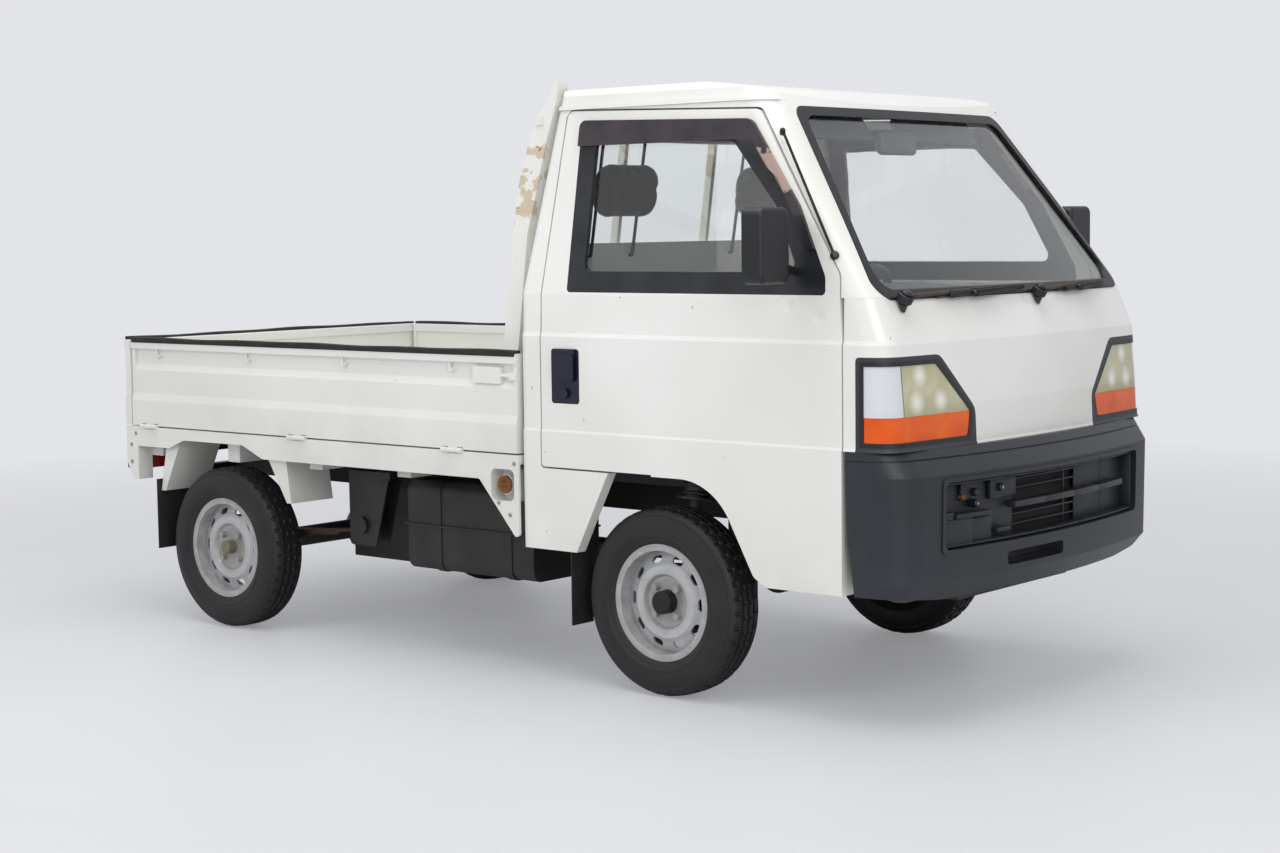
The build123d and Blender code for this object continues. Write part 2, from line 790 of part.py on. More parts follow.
# Cab floor: footwell pan, toe wall, heel board and the seat base over the wheels
floor_wall = 6.0
floor_half = cab_half - door_wall - panel_gap * 2
footwell_z = 400.0
footwell_back_x = nose_x - 527.5
toe_wall_x = nose_x - 147.5
seat_base_z = 800.0
seat_base_back_x = cab_back_x + cab_wall + panel_gap
tunnel_half = 345.0
floor_outline = [
    (seat_base_back_x, seat_base_z - floor_wall),
    (seat_base_back_x, seat_base_z),
    (footwell_back_x, seat_base_z),
    (footwell_back_x, footwell_z),
    (toe_wall_x, footwell_z),
    (toe_wall_x, lower_crease_z),
    (toe_wall_x + floor_wall, lower_crease_z),
    (toe_wall_x + floor_wall, footwell_z - floor_wall),
    (footwell_back_x - floor_wall, footwell_z - floor_wall),
    (footwell_back_x - floor_wall, seat_base_z - floor_wall),
]
cab_floor = side_plate(floor_outline, -floor_half, floor_half)
shelf_half = 560.0
shelf_reach = 80.0
shelf_z = 700.0
for side in (-1, 1):
    tunnel = block(
        seat_base_back_x,
        footwell_back_x,
        side * tunnel_half,
        side * (tunnel_half + floor_wall),
        frame_top_z + seat_gap,
        seat_base_z,
    )
    shelf = block(
        front_axle_x - shelf_reach,
        front_axle_x + shelf_reach,
        side * tunnel_half,
        side * shelf_half,
        shelf_z + seat_gap,
        shelf_z + seat_gap + floor_wall,
    )
    cab_floor = cab_floor + tunnel + shelf
keep("cab_floor", cab_floor)

# Dashboard, steering column and steering wheel
dash_back_x = nose_x - 357.5
dash_low_z = 900.0
dash_half = floor_half - panel_gap * 2
dash_top_z = belt_z - panel_gap * 2
dash_lip_z = 1010.0
hood_half = 190.0
hood_back_x = nose_x - 380.0
hood_front_x = nose_x - 240.0
hood_low_z = 1040.0
hood_top_z = 1170.0
wheel_hub_x = nose_x - 497.5
wheel_hub_z = 1060.0
wheel_y = -345.0
column_rake_deg = 42.0
column_radius = 24.0
column_length = 300.0
steering_ring_radius = 178.0
steering_ring_thickness = 12.0
steering_hub_radius = 46.0
steering_hub_height = 26.0
spoke_width = 34.0
spoke_height = 12.0
dashboard = side_plate(
    [
        (dash_back_x + cab_wall, dash_low_z, edge_round),
        (nose_x, dash_low_z),
        (nose_x, dash_top_z),
        (dash_back_x + cab_wall, dash_top_z, edge_round),
        (dash_back_x, dash_lip_z, edge_round),
    ],
    -dash_half,
    dash_half,
)
hood = side_plate(
    [
        (hood_back_x, hood_low_z, edge_round),
        (hood_front_x, hood_low_z),
        (hood_front_x, hood_top_z - edge_round),
        (hood_back_x, hood_top_z, edge_round),
    ],
    wheel_y - hood_half,
    wheel_y + hood_half,
)
column_axis = Vector(-cos(radians(column_rake_deg)), 0, sin(radians(column_rake_deg)))
column_plane = Plane(origin=(wheel_hub_x, wheel_y, wheel_hub_z), x_dir=(0, 1, 0), z_dir=column_axis)
column = column_plane * Pos(0, 0, -column_length / 2) * Cylinder(column_radius, column_length)
column_bore = column_plane * Pos(0, 0, -column_length / 2) * Cylinder(column_radius + seat_gap, column_length)
dashboard = ((dashboard + hood) & cab_form(cab_wall + seat_gap)) - column_bore
keep("dashboard", dashboard)
keep("steering_column", column)
hub = Pos(0, 0, steering_hub_height / 2) * Cylinder(steering_hub_radius, steering_hub_height)
ring = Pos(0, 0, steering_hub_height) * Torus(steering_ring_radius, steering_ring_thickness)
spoke = Pos(0, 0, steering_hub_height - spoke_height / 2) * Box(
    spoke_width, steering_ring_radius * 2, spoke_height
)
spoke_down = Pos(-steering_ring_radius / 2, 0, steering_hub_height - spoke_height / 2) * Box(
    steering_ring_radius, spoke_width, spoke_height
)
steering_wheel = column_plane * Pos(0, 0, seat_gap) * (hub + ring + spoke + spoke_down)
keep("steering_wheel", steering_wheel)

# Seats, with headrests on two thin upright rods
seat_width = 480.0
seat_y = -345.0
cushion_height = 120.0
cushion_front_x = cab_back_x + 713.0
cushion_back_x = cab_back_x + 263.0
back_rest_wall = 110.0
back_rest_top_z = 1300.0
back_rest_lean = 70.0
seat_round = 36.0
headrest_width = 280.0
headrest_depth = 72.0
headrest_low_z = 1351.0
headrest_top_z = 1531.0
rod_radius = 5.0
rod_half_spread = 96.0
rod_stand = 12.0
cushion_z = seat_base_z + seat_gap
seat = side_plate(
    [
        (cushion_front_x, cushion_z),
        (cushion_front_x, cushion_z + cushion_height, seat_round),
        (cushion_back_x, cushion_z + cushion_height),
        (cushion_back_x - back_rest_lean, back_rest_top_z, edge_round),
        (cushion_back_x - back_rest_lean - back_rest_wall / 2, back_rest_top_z, edge_round),
        (cushion_back_x - back_rest_wall, cushion_z),
    ],
    seat_y - seat_width / 2,
    seat_y + seat_width / 2,
)
keep_pair("seat", seat)


def back_inner_x(z):
    """Place of the rear wall's inner face at a height above the belt."""
    return cab_back_x + cab_wall + (z - belt_z) * back_slope


headrest = side_plate(
    [
        (back_inner_x(headrest_low_z) + seat_gap, headrest_low_z, edge_round),
        (back_inner_x(headrest_low_z) + headrest_depth, headrest_low_z, seat_round),
        (back_inner_x(headrest_top_z) + headrest_depth, headrest_top_z, seat_round),
        (back_inner_x(headrest_top_z) + seat_gap, headrest_top_z, edge_round),
    ],
    seat_y - headrest_width / 2,
    seat_y + headrest_width / 2,
)
rod_low_z = rear_window_low_z - cab_wall
rod_high_z = rear_window_high_z + rod_radius
rods = []
for side in (-1, 1):
    rod_y = seat_y + side * rod_half_spread
    low_end = (back_inner_x(rod_low_z) + rod_stand, rod_y, rod_low_z)
    high_end = (back_inner_x(rod_high_z) + rod_stand, rod_y, rod_high_z)
    rods.append(rod_between(low_end, high_end, rod_radius))
    headrest = headrest - rod_between(low_end, high_end, rod_radius + seat_gap)
    for end in (low_end, high_end):
        foot_x = end[0] - rod_stand + seat_gap * 4
        rods[-1] = rods[-1] + rod_between((foot_x, rod_y, end[2]), (end[0], rod_y, end[2]), rod_radius)
keep_pair("headrest", headrest)
keep_both("headrest_rods", Compound(children=rods))

# Mirrors on arms at the door's front corner
mirror_back_x = nose_x - 447.5
mirror_front_x = nose_x - 385.5
mirror_in_half = 742.0
mirror_out_half = 872.0
mirror_low_z = 1180.0
mirror_top_z = 1380.0
mirror_round = 24.0
mirror_arm_radius = 11.0
mirror_head = block(
    mirror_back_x, mirror_front_x, -mirror_out_half, -mirror_in_half, mirror_low_z, mirror_top_z
)
mirror_head = fillet(mirror_head.edges().filter_by(Axis.X), mirror_round)
mirror_head = fillet(mirror_head.faces().sort_by(Axis.X)[-1].edges(), edge_round)
mirror_arm_z = window_low_z + trim_side
mirror_arm_x = (mirror_back_x + mirror_front_x) / 2
mirror_arm = rod_between(
    (mirror_arm_x, -mirror_in_half - mirror_round, mirror_arm_z + mirror_round),
    (mirror_arm_x, -belt_half + skin_wall, mirror_arm_z),
    mirror_arm_radius,
)
mirror_arm = mirror_arm - outer_form
keep_pair("mirror", mirror_head + mirror_arm)

# Wipers: a pivot post, a bent arm and a blade along the windscreen's foot
wiper_radius = 5.0
wiper_post_radius = 12.0
wiper_stand = 20.0
wiper_rise = 26.0
wiper_pivot_z = 1118.0
wiper_tip_z = 1160.0
blade_radius = 4.0
blade_height = 14.0
blade_share = 0.36
saddle_share = 0.68
# Columns: pivot across, tip across
wiper_places = [(-573.0, 24.0), (79.0, 519.0)]
wipers = []
for pivot_y, tip_y in wiper_places:
    pivot_x = nose_at(pivot_y, wiper_pivot_z)
    post_top = (pivot_x + wiper_stand, pivot_y, wiper_pivot_z + wiper_rise)
    post = rod_between((pivot_x + seat_gap, pivot_y, wiper_pivot_z - wiper_rise / 2), post_top, wiper_post_radius)
    saddle_y = pivot_y + (tip_y - pivot_y) * saddle_share
    saddle_z = wiper_pivot_z + wiper_rise + (wiper_tip_z - wiper_pivot_z - wiper_rise) * saddle_share
    saddle_top = (nose_at(saddle_y, saddle_z) + wiper_stand, saddle_y, saddle_z)
    saddle_foot = (saddle_top[0], saddle_y, saddle_z - blade_height)
    blade_y = pivot_y + (tip_y - pivot_y) * blade_share
    blade_start = (nose_at(blade_y, saddle_z) + wiper_stand, blade_y, saddle_z - blade_height - blade_radius)
    blade_end = (nose_at(tip_y, wiper_tip_z) + wiper_stand, tip_y, wiper_tip_z - blade_height - blade_radius)
    wiper = post + [
        rod_between(post_top, saddle_top, wiper_radius),
        Pos(*post_top) * Sphere(wiper_post_radius),
        rod_between(saddle_top, saddle_foot, wiper_radius * 3 / 2),
        rod_between(blade_start, blade_end, blade_radius),
    ]
    wipers.append(wiper - cab_form(seat_gap - seal_out * 2))
keep("wipers", Compound(children=[solid for wiper in wipers for solid in wiper.solids()]))

# Hinges of the gates: a pin in two fixed knuckles, and one moving knuckle between them
outer_knuckle = 22.0
hinge_reach = knuckle_length / 2 + knuckle_gap + outer_knuckle


def hinge_parts(rod, middle):
    """Fixed and moving parts and both clearances of one hinge; rod makes a bar between two places."""
    half = knuckle_length / 2
    fixed = rod(hinge_radius, middle - hinge_reach, middle - half - knuckle_gap)
    fixed = fixed + rod(hinge_radius, middle + half + knuckle_gap, middle + hinge_reach)
    fixed = fixed + rod(hinge_pin_radius, middle - hinge_reach, middle + hinge_reach)
    bore = rod(hinge_pin_radius + bearing_play, middle - hinge_reach, middle + hinge_reach)
    moving = rod(hinge_radius, middle - half, middle + half)
    around = hinge_radius + hinge_stand
    round_fixed = rod(around, middle - hinge_reach - knuckle_gap, middle - half)
    round_fixed = round_fixed + rod(around, middle + half, middle + hinge_reach + knuckle_gap)
    round_moving = rod(around, middle - half - knuckle_gap, middle + half + knuckle_gap)
    return fixed, moving, bore, round_fixed, round_moving


def side_rod(radius, x0, x1):
    return long_rod(-bed_half - hinge_stand, hinge_z, radius, x0, x1)


def tail_rod(radius, y0, y1):
    return cross_rod(bed_back_x - hinge_stand, hinge_z, radius, y0, y1)


# Gate section: a box rail on top, a set-back band, a panel and a foot ledge
gate_rail_z = 936.0
gate_band_z = 884.0
gate_step_z = 862.0
gate_fold_z = 782.0
gate_ledge_z = 756.0
gate_foot_z = 694.0
band_depth = 18.0
step_depth = 6.0
inner_depth = 26.0
gate_round = 5.0
end_band = 15.0
# Columns: depth from the outer face, height, rounding
gate_section = [
    (0, gate_low_z),
    (0, gate_ledge_z),
    (step_depth, gate_fold_z),
    (step_depth, gate_step_z),
    (band_depth, gate_band_z),
    (band_depth, gate_rail_z - step_depth),
    (0, gate_rail_z),
    (0, gate_top_z, gate_round),
    (gate_wall, gate_top_z, gate_round),
    (gate_wall, gate_rail_z),
    (inner_depth, gate_rail_z - step_depth),
    (inner_depth, gate_foot_z),
    (gate_wall, gate_foot_z - step_depth),
    (gate_wall, gate_low_z),
]
gate_back_x = bed_back_x + gate_wall + panel_gap
gate_front_x = bed_front_x - panel_gap
gate_length = gate_front_x - gate_back_x
side_hinge_shares = (0.052, 0.468, 0.854)
tail_hinge_shares = (-0.62, 0.0, 0.62)
hook_shares = (0.073, 0.329, 0.584, 0.846)
hook_radius = 3.5
hook_drop = 30.0
hook_reach = 20.0
hook_depth = 9.0
latch_back_x = gate_front_x - 178.0
latch_middle_x = gate_front_x - 64.0
latch_low_z = 874.0
latch_top_z = 924.0
latch_face = 2.0
latch_rod_radius = 6.0
side_gate = end_plate([(-bed_half + row[0], *row[1:]) for row in gate_section], gate_back_x, gate_front_x)
for end_x in (gate_back_x, gate_front_x - end_band):
    side_gate = side_gate + block(
        end_x, end_x + end_band, -bed_half + step_depth, -bed_half + gate_wall, gate_low_z, gate_rail_z
    )
for share in hook_shares:
    hook_x = gate_back_x + gate_length * share
    hook_y = -bed_half + hook_depth
    top = (hook_x, hook_y, gate_rail_z)
    bend = (hook_x, hook_y, gate_rail_z - hook_drop)
    tip = (hook_x + hook_reach, hook_y, gate_rail_z - hook_drop + hook_depth)
    side_gate = side_gate + rod_between(top, bend, hook_radius) + rod_between(bend, tip, hook_radius)
    side_gate = side_gate + Pos(*bend) * Sphere(hook_radius)
latch = block(
    latch_back_x, latch_middle_x, -bed_half + latch_face, -bed_half + inner_depth, latch_low_z, latch_top_z
)
latch = fillet(latch.edges().filter_by(Axis.Y), gate_round)
lever_y = -bed_half + latch_face + latch_rod_radius
lever_z = (latch_low_z + latch_top_z) / 2
latch = latch + long_rod(lever_y, lever_z, latch_rod_radius, latch_middle_x, gate_front_x)
latch = latch + block(
    gate_front_x - end_band * 2,
    gate_front_x,
    -bed_half + latch_face,
    -bed_half + inner_depth,
    lever_z - latch_rod_radius * 2,
    lever_z + latch_rod_radius * 2,
)
side_gate = side_gate + latch
tailgate = side_plate([(bed_back_x + row[0], *row[1:]) for row in gate_section], -bed_half, bed_half)
for side in (-1, 1):
    tailgate = tailgate + block(
        bed_back_x + step_depth,
        bed_back_x + gate_wall,
        side * bed_half,
        side * (bed_half - end_band),
        gate_low_z,
        gate_rail_z,
    )

# Bed floor with shallow grooves, on side beams with a notch over each rear wheel
groove_count = 12
groove_width = 26.0
groove_depth = 6.0
floor_top_z = bed_floor_z + bed_floor_wall
floor_side = bed_half - gate_wall - panel_gap
beam_low_z = 587.0
beam_rear_z = 597.0
notch_top_z = 628.0
notch_front_x = rear_axle_x + 239.5
notch_front_top_x = rear_axle_x + 139.5
notch_back_top_x = rear_axle_x - 167.5
notch_back_x = rear_axle_x - 247.5
notch_round = 36.0
beam_width = 60.0
beam_flange = 28.0
filler_x = bed_front_x - 212.0
filler_head_x = bed_front_x - 162.0
filler_low_z = 402.0
filler_hole_x0 = bed_front_x - 113.0
filler_hole_x1 = bed_front_x - 19.0
filler_hole_z0 = 526.0
filler_hole_z1 = 621.0
filler_hole_round = 20.0
bed_floor = block(gate_back_x, front_wall_x - seat_gap, -floor_side, floor_side, bed_floor_z, floor_top_z)
groove_step = floor_side * 2 / groove_count
for index in range(groove_count):
    groove_y = -floor_side + groove_step * (index + 1 / 2)
    bed_floor = bed_floor - block(
        gate_back_x + edge_round,
        front_wall_x - edge_round,
        groove_y - groove_width / 2,
        groove_y + groove_width / 2,
        floor_top_z - groove_depth,
        floor_top_z,
    )
beam_skin = side_plate(
    [
        (bed_back_x, bed_floor_z),
        (bed_front_x, bed_floor_z),
        (bed_front_x, filler_low_z, edge_round),
        (filler_head_x, beam_low_z, edge_round),
        (filler_x, beam_low_z),
        (notch_front_x, beam_low_z, edge_round),
        (notch_front_top_x, notch_top_z, notch_round),
        (notch_back_top_x, notch_top_z, notch_round),
        (notch_back_x, beam_rear_z, edge_round),
        (bed_back_x, beam_rear_z),
    ],
    -bed_half,
    -bed_half + plate_wall,
)
filler_hole = side_plate(
    [
        (filler_hole_x0, filler_hole_z0, filler_hole_round),
        (filler_hole_x0, filler_hole_z1, filler_hole_round),
        (filler_hole_x1, filler_hole_z1, filler_hole_round),
        (filler_hole_x1, filler_hole_z0, filler_hole_round),
    ],
    -bed_half,
    -bed_half + plate_wall,
)
filler_cup = side_plate(
    [
        (filler_hole_x0 - panel_gap, filler_hole_z0 - panel_gap, filler_hole_round),
        (filler_hole_x0 - panel_gap, filler_hole_z1 + panel_gap, filler_hole_round),
        (filler_hole_x1 + panel_gap, filler_hole_z1 + panel_gap, filler_hole_round),
        (filler_hole_x1 + panel_gap, filler_hole_z0 - panel_gap, filler_hole_round),
    ],
    -bed_half + plate_wall,
    -bed_half + beam_width,
)
cup_room = Pos(0, plate_wall, 0) * filler_hole
cup_depth = beam_width - plate_wall * 2
filler_cup = filler_cup - side_plate(
    [
        (filler_hole_x0, filler_hole_z0, filler_hole_round),
        (filler_hole_x0, filler_hole_z1, filler_hole_round),
        (filler_hole_x1, filler_hole_z1, filler_hole_round),
        (filler_hole_x1, filler_hole_z0, filler_hole_round),
    ],
    -bed_half + plate_wall,
    -bed_half + plate_wall + cup_depth,
)
filler_cap_radius = 30.0
filler_cap = cross_rod(
    (filler_hole_x0 + filler_hole_x1) / 2,
    (filler_hole_z0 + filler_hole_z1) / 2,
    filler_cap_radius,
    -bed_half + plate_wall * 2,
    -bed_half + plate_wall + cup_depth,
)
beam_box = block(
    bed_back_x, bed_front_x, -bed_half + plate_wall, -bed_half + beam_width, bed_floor_z - beam_flange, bed_floor_z
)
rear_post_width = 62.0
rear_post_foot = 34.0
rear_post_low_z = 480.0
rear_post = side_plate(
    [
        (bed_back_x, beam_rear_z),
        (bed_back_x + rear_post_width, beam_rear_z),
        (bed_back_x + rear_post_width, rear_post_low_z),
        (bed_back_x + rear_post_foot, rear_post_low_z),
        (bed_back_x, (beam_rear_z + rear_post_low_z) / 2),
    ],
    -bed_half,
    -bed_half + beam_width,
)
stay_out = bed_half - 25.0
stay_in = 491.0
stay_low_z = 445.0
stay_wall = 22.0
front_stay = side_plate(
    [
        (notch_front_x, bed_floor_z),
        (notch_front_x + stay_wall * 4, bed_floor_z),
        (notch_front_x + stay_wall * 4, beam_low_z),
        (notch_front_x + stay_wall * 5, stay_low_z),
        (notch_front_x + stay_wall * 4, stay_low_z),
        (notch_front_x, beam_low_z),
    ],
    -stay_out,
    -stay_in,
)
rear_stay = side_plate(
    [
        (notch_back_x + stay_wall, bed_floor_z),
        (notch_back_x - stay_wall * 2, bed_floor_z),
        (notch_back_x - stay_wall * 2, beam_rear_z),
        (notch_back_x - stay_wall * 7 / 2, stay_low_z),
        (notch_back_x - stay_wall * 5 / 2, stay_low_z),
        (notch_back_x + stay_wall, beam_rear_z),
    ],
    -stay_out,
    -stay_in,
)
side_pieces = beam_skin - filler_hole + filler_cup + filler_cap + beam_box + rear_post + front_stay + rear_stay
bed_floor = bed_floor + side_pieces + mirrored(side_pieces)
tail_low_z = bed_floor_z - beam_width - edge_round
tail_beam = side_plate(
    [
        (bed_back_x, tail_low_z),
        (bed_back_x, bed_floor_z),
        (bed_back_x + beam_width, bed_floor_z),
        (bed_back_x + beam_width, bed_floor_z - plate_wall),
        (bed_back_x + plate_wall, bed_floor_z - plate_wall),
        (bed_back_x + plate_wall, tail_low_z + plate_wall),
        (bed_back_x + beam_width, tail_low_z + plate_wall),
        (bed_back_x + beam_width, tail_low_z),
    ],
    -bed_half,
    bed_half,
)
bed_floor = bed_floor + tail_beam
tail_deck = block(bed_back_x + plate_wall, gate_back_x, -floor_side, floor_side, bed_floor_z - plate_wall, bed_floor_z)
bed_floor = bed_floor + tail_deck
for share in side_hinge_shares:
    parts = hinge_parts(side_rod, gate_back_x + gate_length * share)
    fixed, moving, bore, round_fixed, round_moving = parts
    side_gate = (side_gate - round_fixed) + moving - bore
    bed_floor = bed_floor - round_moving - mirrored(round_moving) + fixed + mirrored(fixed)
for share in tail_hinge_shares:
    parts = hinge_parts(tail_rod, bed_half * share)
    fixed, moving, bore, round_fixed, round_moving = parts
    tailgate = (tailgate - round_fixed) + moving - bore
    bed_floor = (bed_floor - round_moving) + fixed
keep("bed_floor", bed_floor)
keep_pair("side_gate", side_gate)
keep("tailgate", tailgate)

# Front wall of the bed, open to the cab, and the guard frame that stands on it
front_wall_side = 16.0
front_wall = block(
    front_wall_x,
    front_wall_x + front_wall_thickness,
    -floor_side,
    floor_side,
    bed_floor_z + seat_gap,
    gate_top_z,
)
front_wall = front_wall - block(
    front_wall_x + front_wall_side,
    front_wall_x + front_wall_thickness,
    -floor_side + front_wall_side * 2,
    floor_side - front_wall_side * 2,
    floor_top_z + front_wall_side,
    gate_rail_z - front_wall_side,
)
keep("front_wall", front_wall)
guard_half = 642.0
guard_width = 46.0
guard_wall = 5.0
guard_lean_deg = 3.0
guard_tip_z = 1757.0
guard_bar_half = 612.0
guard_bar_width = 26.0
guard_low_bar_z = 1236.0
guard_high_bar_z = 1634.0
guard_upright_y = (-228.0, -212.0, 212.0, 228.0)
# Columns: place along, height; up the rear edge and down the front one
guard_back_edge = [
    (front_wall_x, gate_top_z),
    (front_wall_x + 31.0, 1313.0),
    (front_wall_x + 52.0, 1460.0),
    (front_wall_x + 88.0, 1584.0),
    (front_wall_x + 115.0, 1651.0),
    (front_wall_x + 158.0, 1702.0),
    (front_wall_x + 180.0, guard_tip_z),
]
guard_front_edge = [
    (front_wall_x + 203.0, guard_tip_z),
    (front_wall_x + 195.0, 1700.0),
    (front_wall_x + 180.0, 1651.0),
    (front_wall_x + 158.0, 1584.0),
    (front_wall_x + 126.0, 1452.0),
    (front_wall_x + 90.0, 1313.0),
    (front_wall_x + front_wall_thickness, gate_top_z),
]
guard_lean = Pos(0, -guard_half, gate_top_z) * Rot(-guard_lean_deg, 0, 0) * Pos(0, guard_half, -gate_top_z)
guard_post = side_plate([*guard_back_edge, *guard_front_edge], -guard_half, -guard_half + guard_width)
guard_post = guard_lean * guard_post


def guard_bar_x(z):
    """Place of the guard's bars, midway through the posts at a height."""
    low = guard_back_edge[0]
    high = guard_back_edge[3]
    share = (z - low[1]) / (high[1] - low[1])
    return low[0] + (high[0] - low[0]) * share + guard_bar_width


guard = guard_post + mirrored(guard_post)
for bar_z in (guard_low_bar_z, guard_high_bar_z):
    bar_x = guard_bar_x(bar_z)
    guard = guard + block(
        bar_x, bar_x + guard_bar_width, -guard_bar_half, guard_bar_half, bar_z, bar_z + guard_bar_width
    )
upright_low = (guard_bar_x(guard_low_bar_z), guard_low_bar_z)
upright_high = (guard_bar_x(guard_high_bar_z), guard_high_bar_z)
for right_y, left_y in zip(guard_upright_y[::2], guard_upright_y[1::2]):
    guard = guard + side_plate(
        [
            upright_low,
            upright_high,
            (upright_high[0] + guard_bar_width, upright_high[1]),
            (upright_low[0] + guard_bar_width, upright_low[1]),
        ],
        right_y,
        left_y,
    )
foot_room = block(0, cab_back_x, -cab_half, cab_half, 0, gate_top_z)
keep("guard_frame", guard - foot_room)

# Chassis: channel rails that step down under the footwell, with crossmembers
rail_low_z = frame_top_z - frame_height
channel_wall = 6.0
frame_x0 = tail_x + beam_width + edge_round
frame_x1 = toe_wall_x - panel_gap
frame_step_x = footwell_back_x - floor_wall - panel_gap
low_top_z = footwell_z - floor_wall - seat_gap
rail_outline = [
    (frame_x0, rail_low_z),
    (frame_x0, frame_top_z),
    (frame_step_x - frame_height, frame_top_z),
    (frame_step_x, low_top_z),
    (frame_x1, low_top_z),
    (frame_x1, low_top_z - frame_height),
    (frame_step_x - frame_height, low_top_z - frame_height),
    (frame_step_x - frame_height * 2, rail_low_z),
]
rail = side_plate(rail_outline, -frame_half, -frame_half + frame_width)
channel_face = Plane.XZ * offset(outline_face(rail_outline), amount=-channel_wall, kind=Kind.INTERSECTION)
channel = Pos(0, -frame_half + channel_wall, 0) * extrude(channel_face, amount=frame_width, dir=(0, 1, 0))
rail = rail - channel
cross_count = 6
cross_width = 60.0
frame = rail + mirrored(rail)
for index in range(cross_count):
    share = index / (cross_count - 1)
    cross_x = frame_x0 + (frame_step_x - frame_height * 2 - cross_width - frame_x0) * share
    cross_half = frame_half - channel_wall / 2
    frame = frame + block(cross_x, cross_x + cross_width, -cross_half, cross_half, rail_low_z, frame_top_z)
nose_cross_half = frame_half - channel_wall / 2
frame = frame + block(
    frame_x1 - cross_width, frame_x1, -nose_cross_half, nose_cross_half, low_top_z - frame_height, low_top_z
)
bed_post_count = 5
post_x_list = []
for index in range(bed_post_count):
    post_x = frame_x0 + (front_wall_x - cross_width - frame_x0) * index / (bed_post_count - 1)
    post_x_list.append(post_x)
    frame = frame + block(
        post_x,
        post_x + cross_width,
        -bed_half + beam_width + seat_gap,
        bed_half - beam_width - seat_gap,
        frame_top_z,
        bed_floor_z - plate_wall - seat_gap if index == 0 else bed_floor_z - seat_gap,
    )

# Steering knuckles with their strut tubes, turning about the strut's line
strut_foot_half = 560.0
strut_foot_z = 190.0
strut_top_half = 470.0
strut_radius = 20.0
strut_lean = (strut_foot_half - strut_top_half) / (shelf_z - strut_foot_z)
strut_top_z = shelf_z - strut_radius * strut_lean
coil_radius = 44.0
coil_wire = 6.0
coil_turns = 5
coil_low_z = 560.0
seat_disc_radius = 56.0
seat_disc_wall = 6.0
knuckle_wall = 36.0
brake_radius = 104.0
brake_in_half = 574.0
brake_out_half = 598.0
disc_outer_dish = 36.0
stub_end = disc_outer_dish + cap_wall
strut_foot = Vector(front_axle_x, -strut_foot_half, strut_foot_z)
strut_top = Vector(front_axle_x, -strut_top_half, strut_top_z)
strut_line = (strut_top - strut_foot).normalized()
strut = rod_between(tuple(strut_foot), tuple(strut_top), strut_radius)
coil_start = strut_foot + strut_line * (coil_low_z - strut_foot_z)
coil_length = (strut_top - coil_start).length - seat_disc_wall * 4
coil_plane = Plane(origin=coil_start, x_dir=(1, 0, 0), z_dir=strut_line)
strut_coil = coil_plane * Pos(0, 0, -seat_disc_wall / 2) * Cylinder(seat_disc_radius, seat_disc_wall)
coil_step = coil_length / coil_turns
for index in range(coil_turns):
    ring = Pos(0, 0, coil_step * (index + 1 / 2)) * Torus(coil_radius - coil_wire, coil_wire)
    strut_coil = strut_coil + coil_plane * ring
strut_coil = strut_coil + coil_plane * Pos(0, 0, coil_length / 2) * Cylinder(coil_radius - coil_wire, coil_length)
upright = block(
    front_axle_x - knuckle_wall,
    front_axle_x + knuckle_wall,
    -brake_in_half,
    -strut_foot_half + knuckle_wall / 2,
    tyre_radius - knuckle_wall * 2,
    tyre_radius + knuckle_wall,
)
brake_disc = cross_rod(front_axle_x, tyre_radius, brake_radius, -brake_out_half, -brake_in_half)
stub = cross_rod(front_axle_x, tyre_radius, stub_radius, -front_track_half - stub_end, -strut_foot_half)
keep_pair("knuckle", strut + strut_coil + upright + brake_disc + stub)

# Lower arms from a hanging crossmember to just under each strut
leg_half = 35.0
leg_in_half = 250.0
arm_radius = 12.0
arm_out_half = 556.0
arm_z = strut_foot_z - panel_gap * 2 - arm_radius
arm_root_z = 205.0
leg_low_z = 180.0
for side in (-1, 1):
    frame = frame + block(
        front_axle_x - leg_half,
        front_axle_x + leg_half,
        side * leg_in_half,
        side * frame_half,
        leg_low_z,
        rail_low_z + channel_wall,
    )
    frame = frame + rod_between(
        (front_axle_x, side * leg_in_half, arm_root_z), (front_axle_x, side * arm_out_half, arm_z), arm_radius
    )
frame = frame + block(
    front_axle_x - leg_half, front_axle_x + leg_half, -leg_in_half, leg_in_half, rail_low_z, frame_top_z - cross_width / 2
)

# Leaf springs: three arched leaves, eyes with pins, front brackets and rear shackles
spring_half = 495.0
spring_width = 50.0
spring_front_reach = 530.0
spring_back_reach = 400.0
leaf_wall = 8.0
leaf_count = 3
leaf_step_share = 0.24
leaf_radius = 4500.0
axle_tube_radius = 34.0
leaf_base_z = tyre_radius + axle_tube_radius + seat_gap
eye_radius = 20.0
eye_bore_radius = 9.0
eye_pin_radius = 8.7
cheek_wall = 6.0
boss_radius = 28.0
bracket_back = 62.0
bracket_front = 131.0
bracket_foot = 60.0
bracket_top_z = 551.0
bracket_low_z = 306.0
leaves = None
for index in range(leaf_count):
    share = 1 - leaf_step_share * (leaf_count - 1 - index)
    outer = leaf_radius - leaf_wall * index
    ring_place = Pos(rear_axle_x, -spring_half, leaf_base_z + leaf_radius) * Rot(90, 0, 0)
    leaf = ring_place * (Cylinder(outer, spring_width) - Cylinder(outer - leaf_wall, spring_width))
    leaf = leaf & block(
        rear_axle_x - spring_back_reach * share,
        rear_axle_x + spring_front_reach * share,
        -spring_half - spring_width,
        -spring_half + spring_width,
        0,
        frame_top_z,
    )
    leaves = leaf if leaves is None else leaves + leaf
eye_rise = leaf_base_z + leaf_wall * leaf_count


def eye_height(reach):
    """Height of a spring eye's centre at a reach from the axle."""
    return eye_rise + leaf_radius - sqrt(leaf_radius**2 - reach**2) + eye_radius - leaf_wall


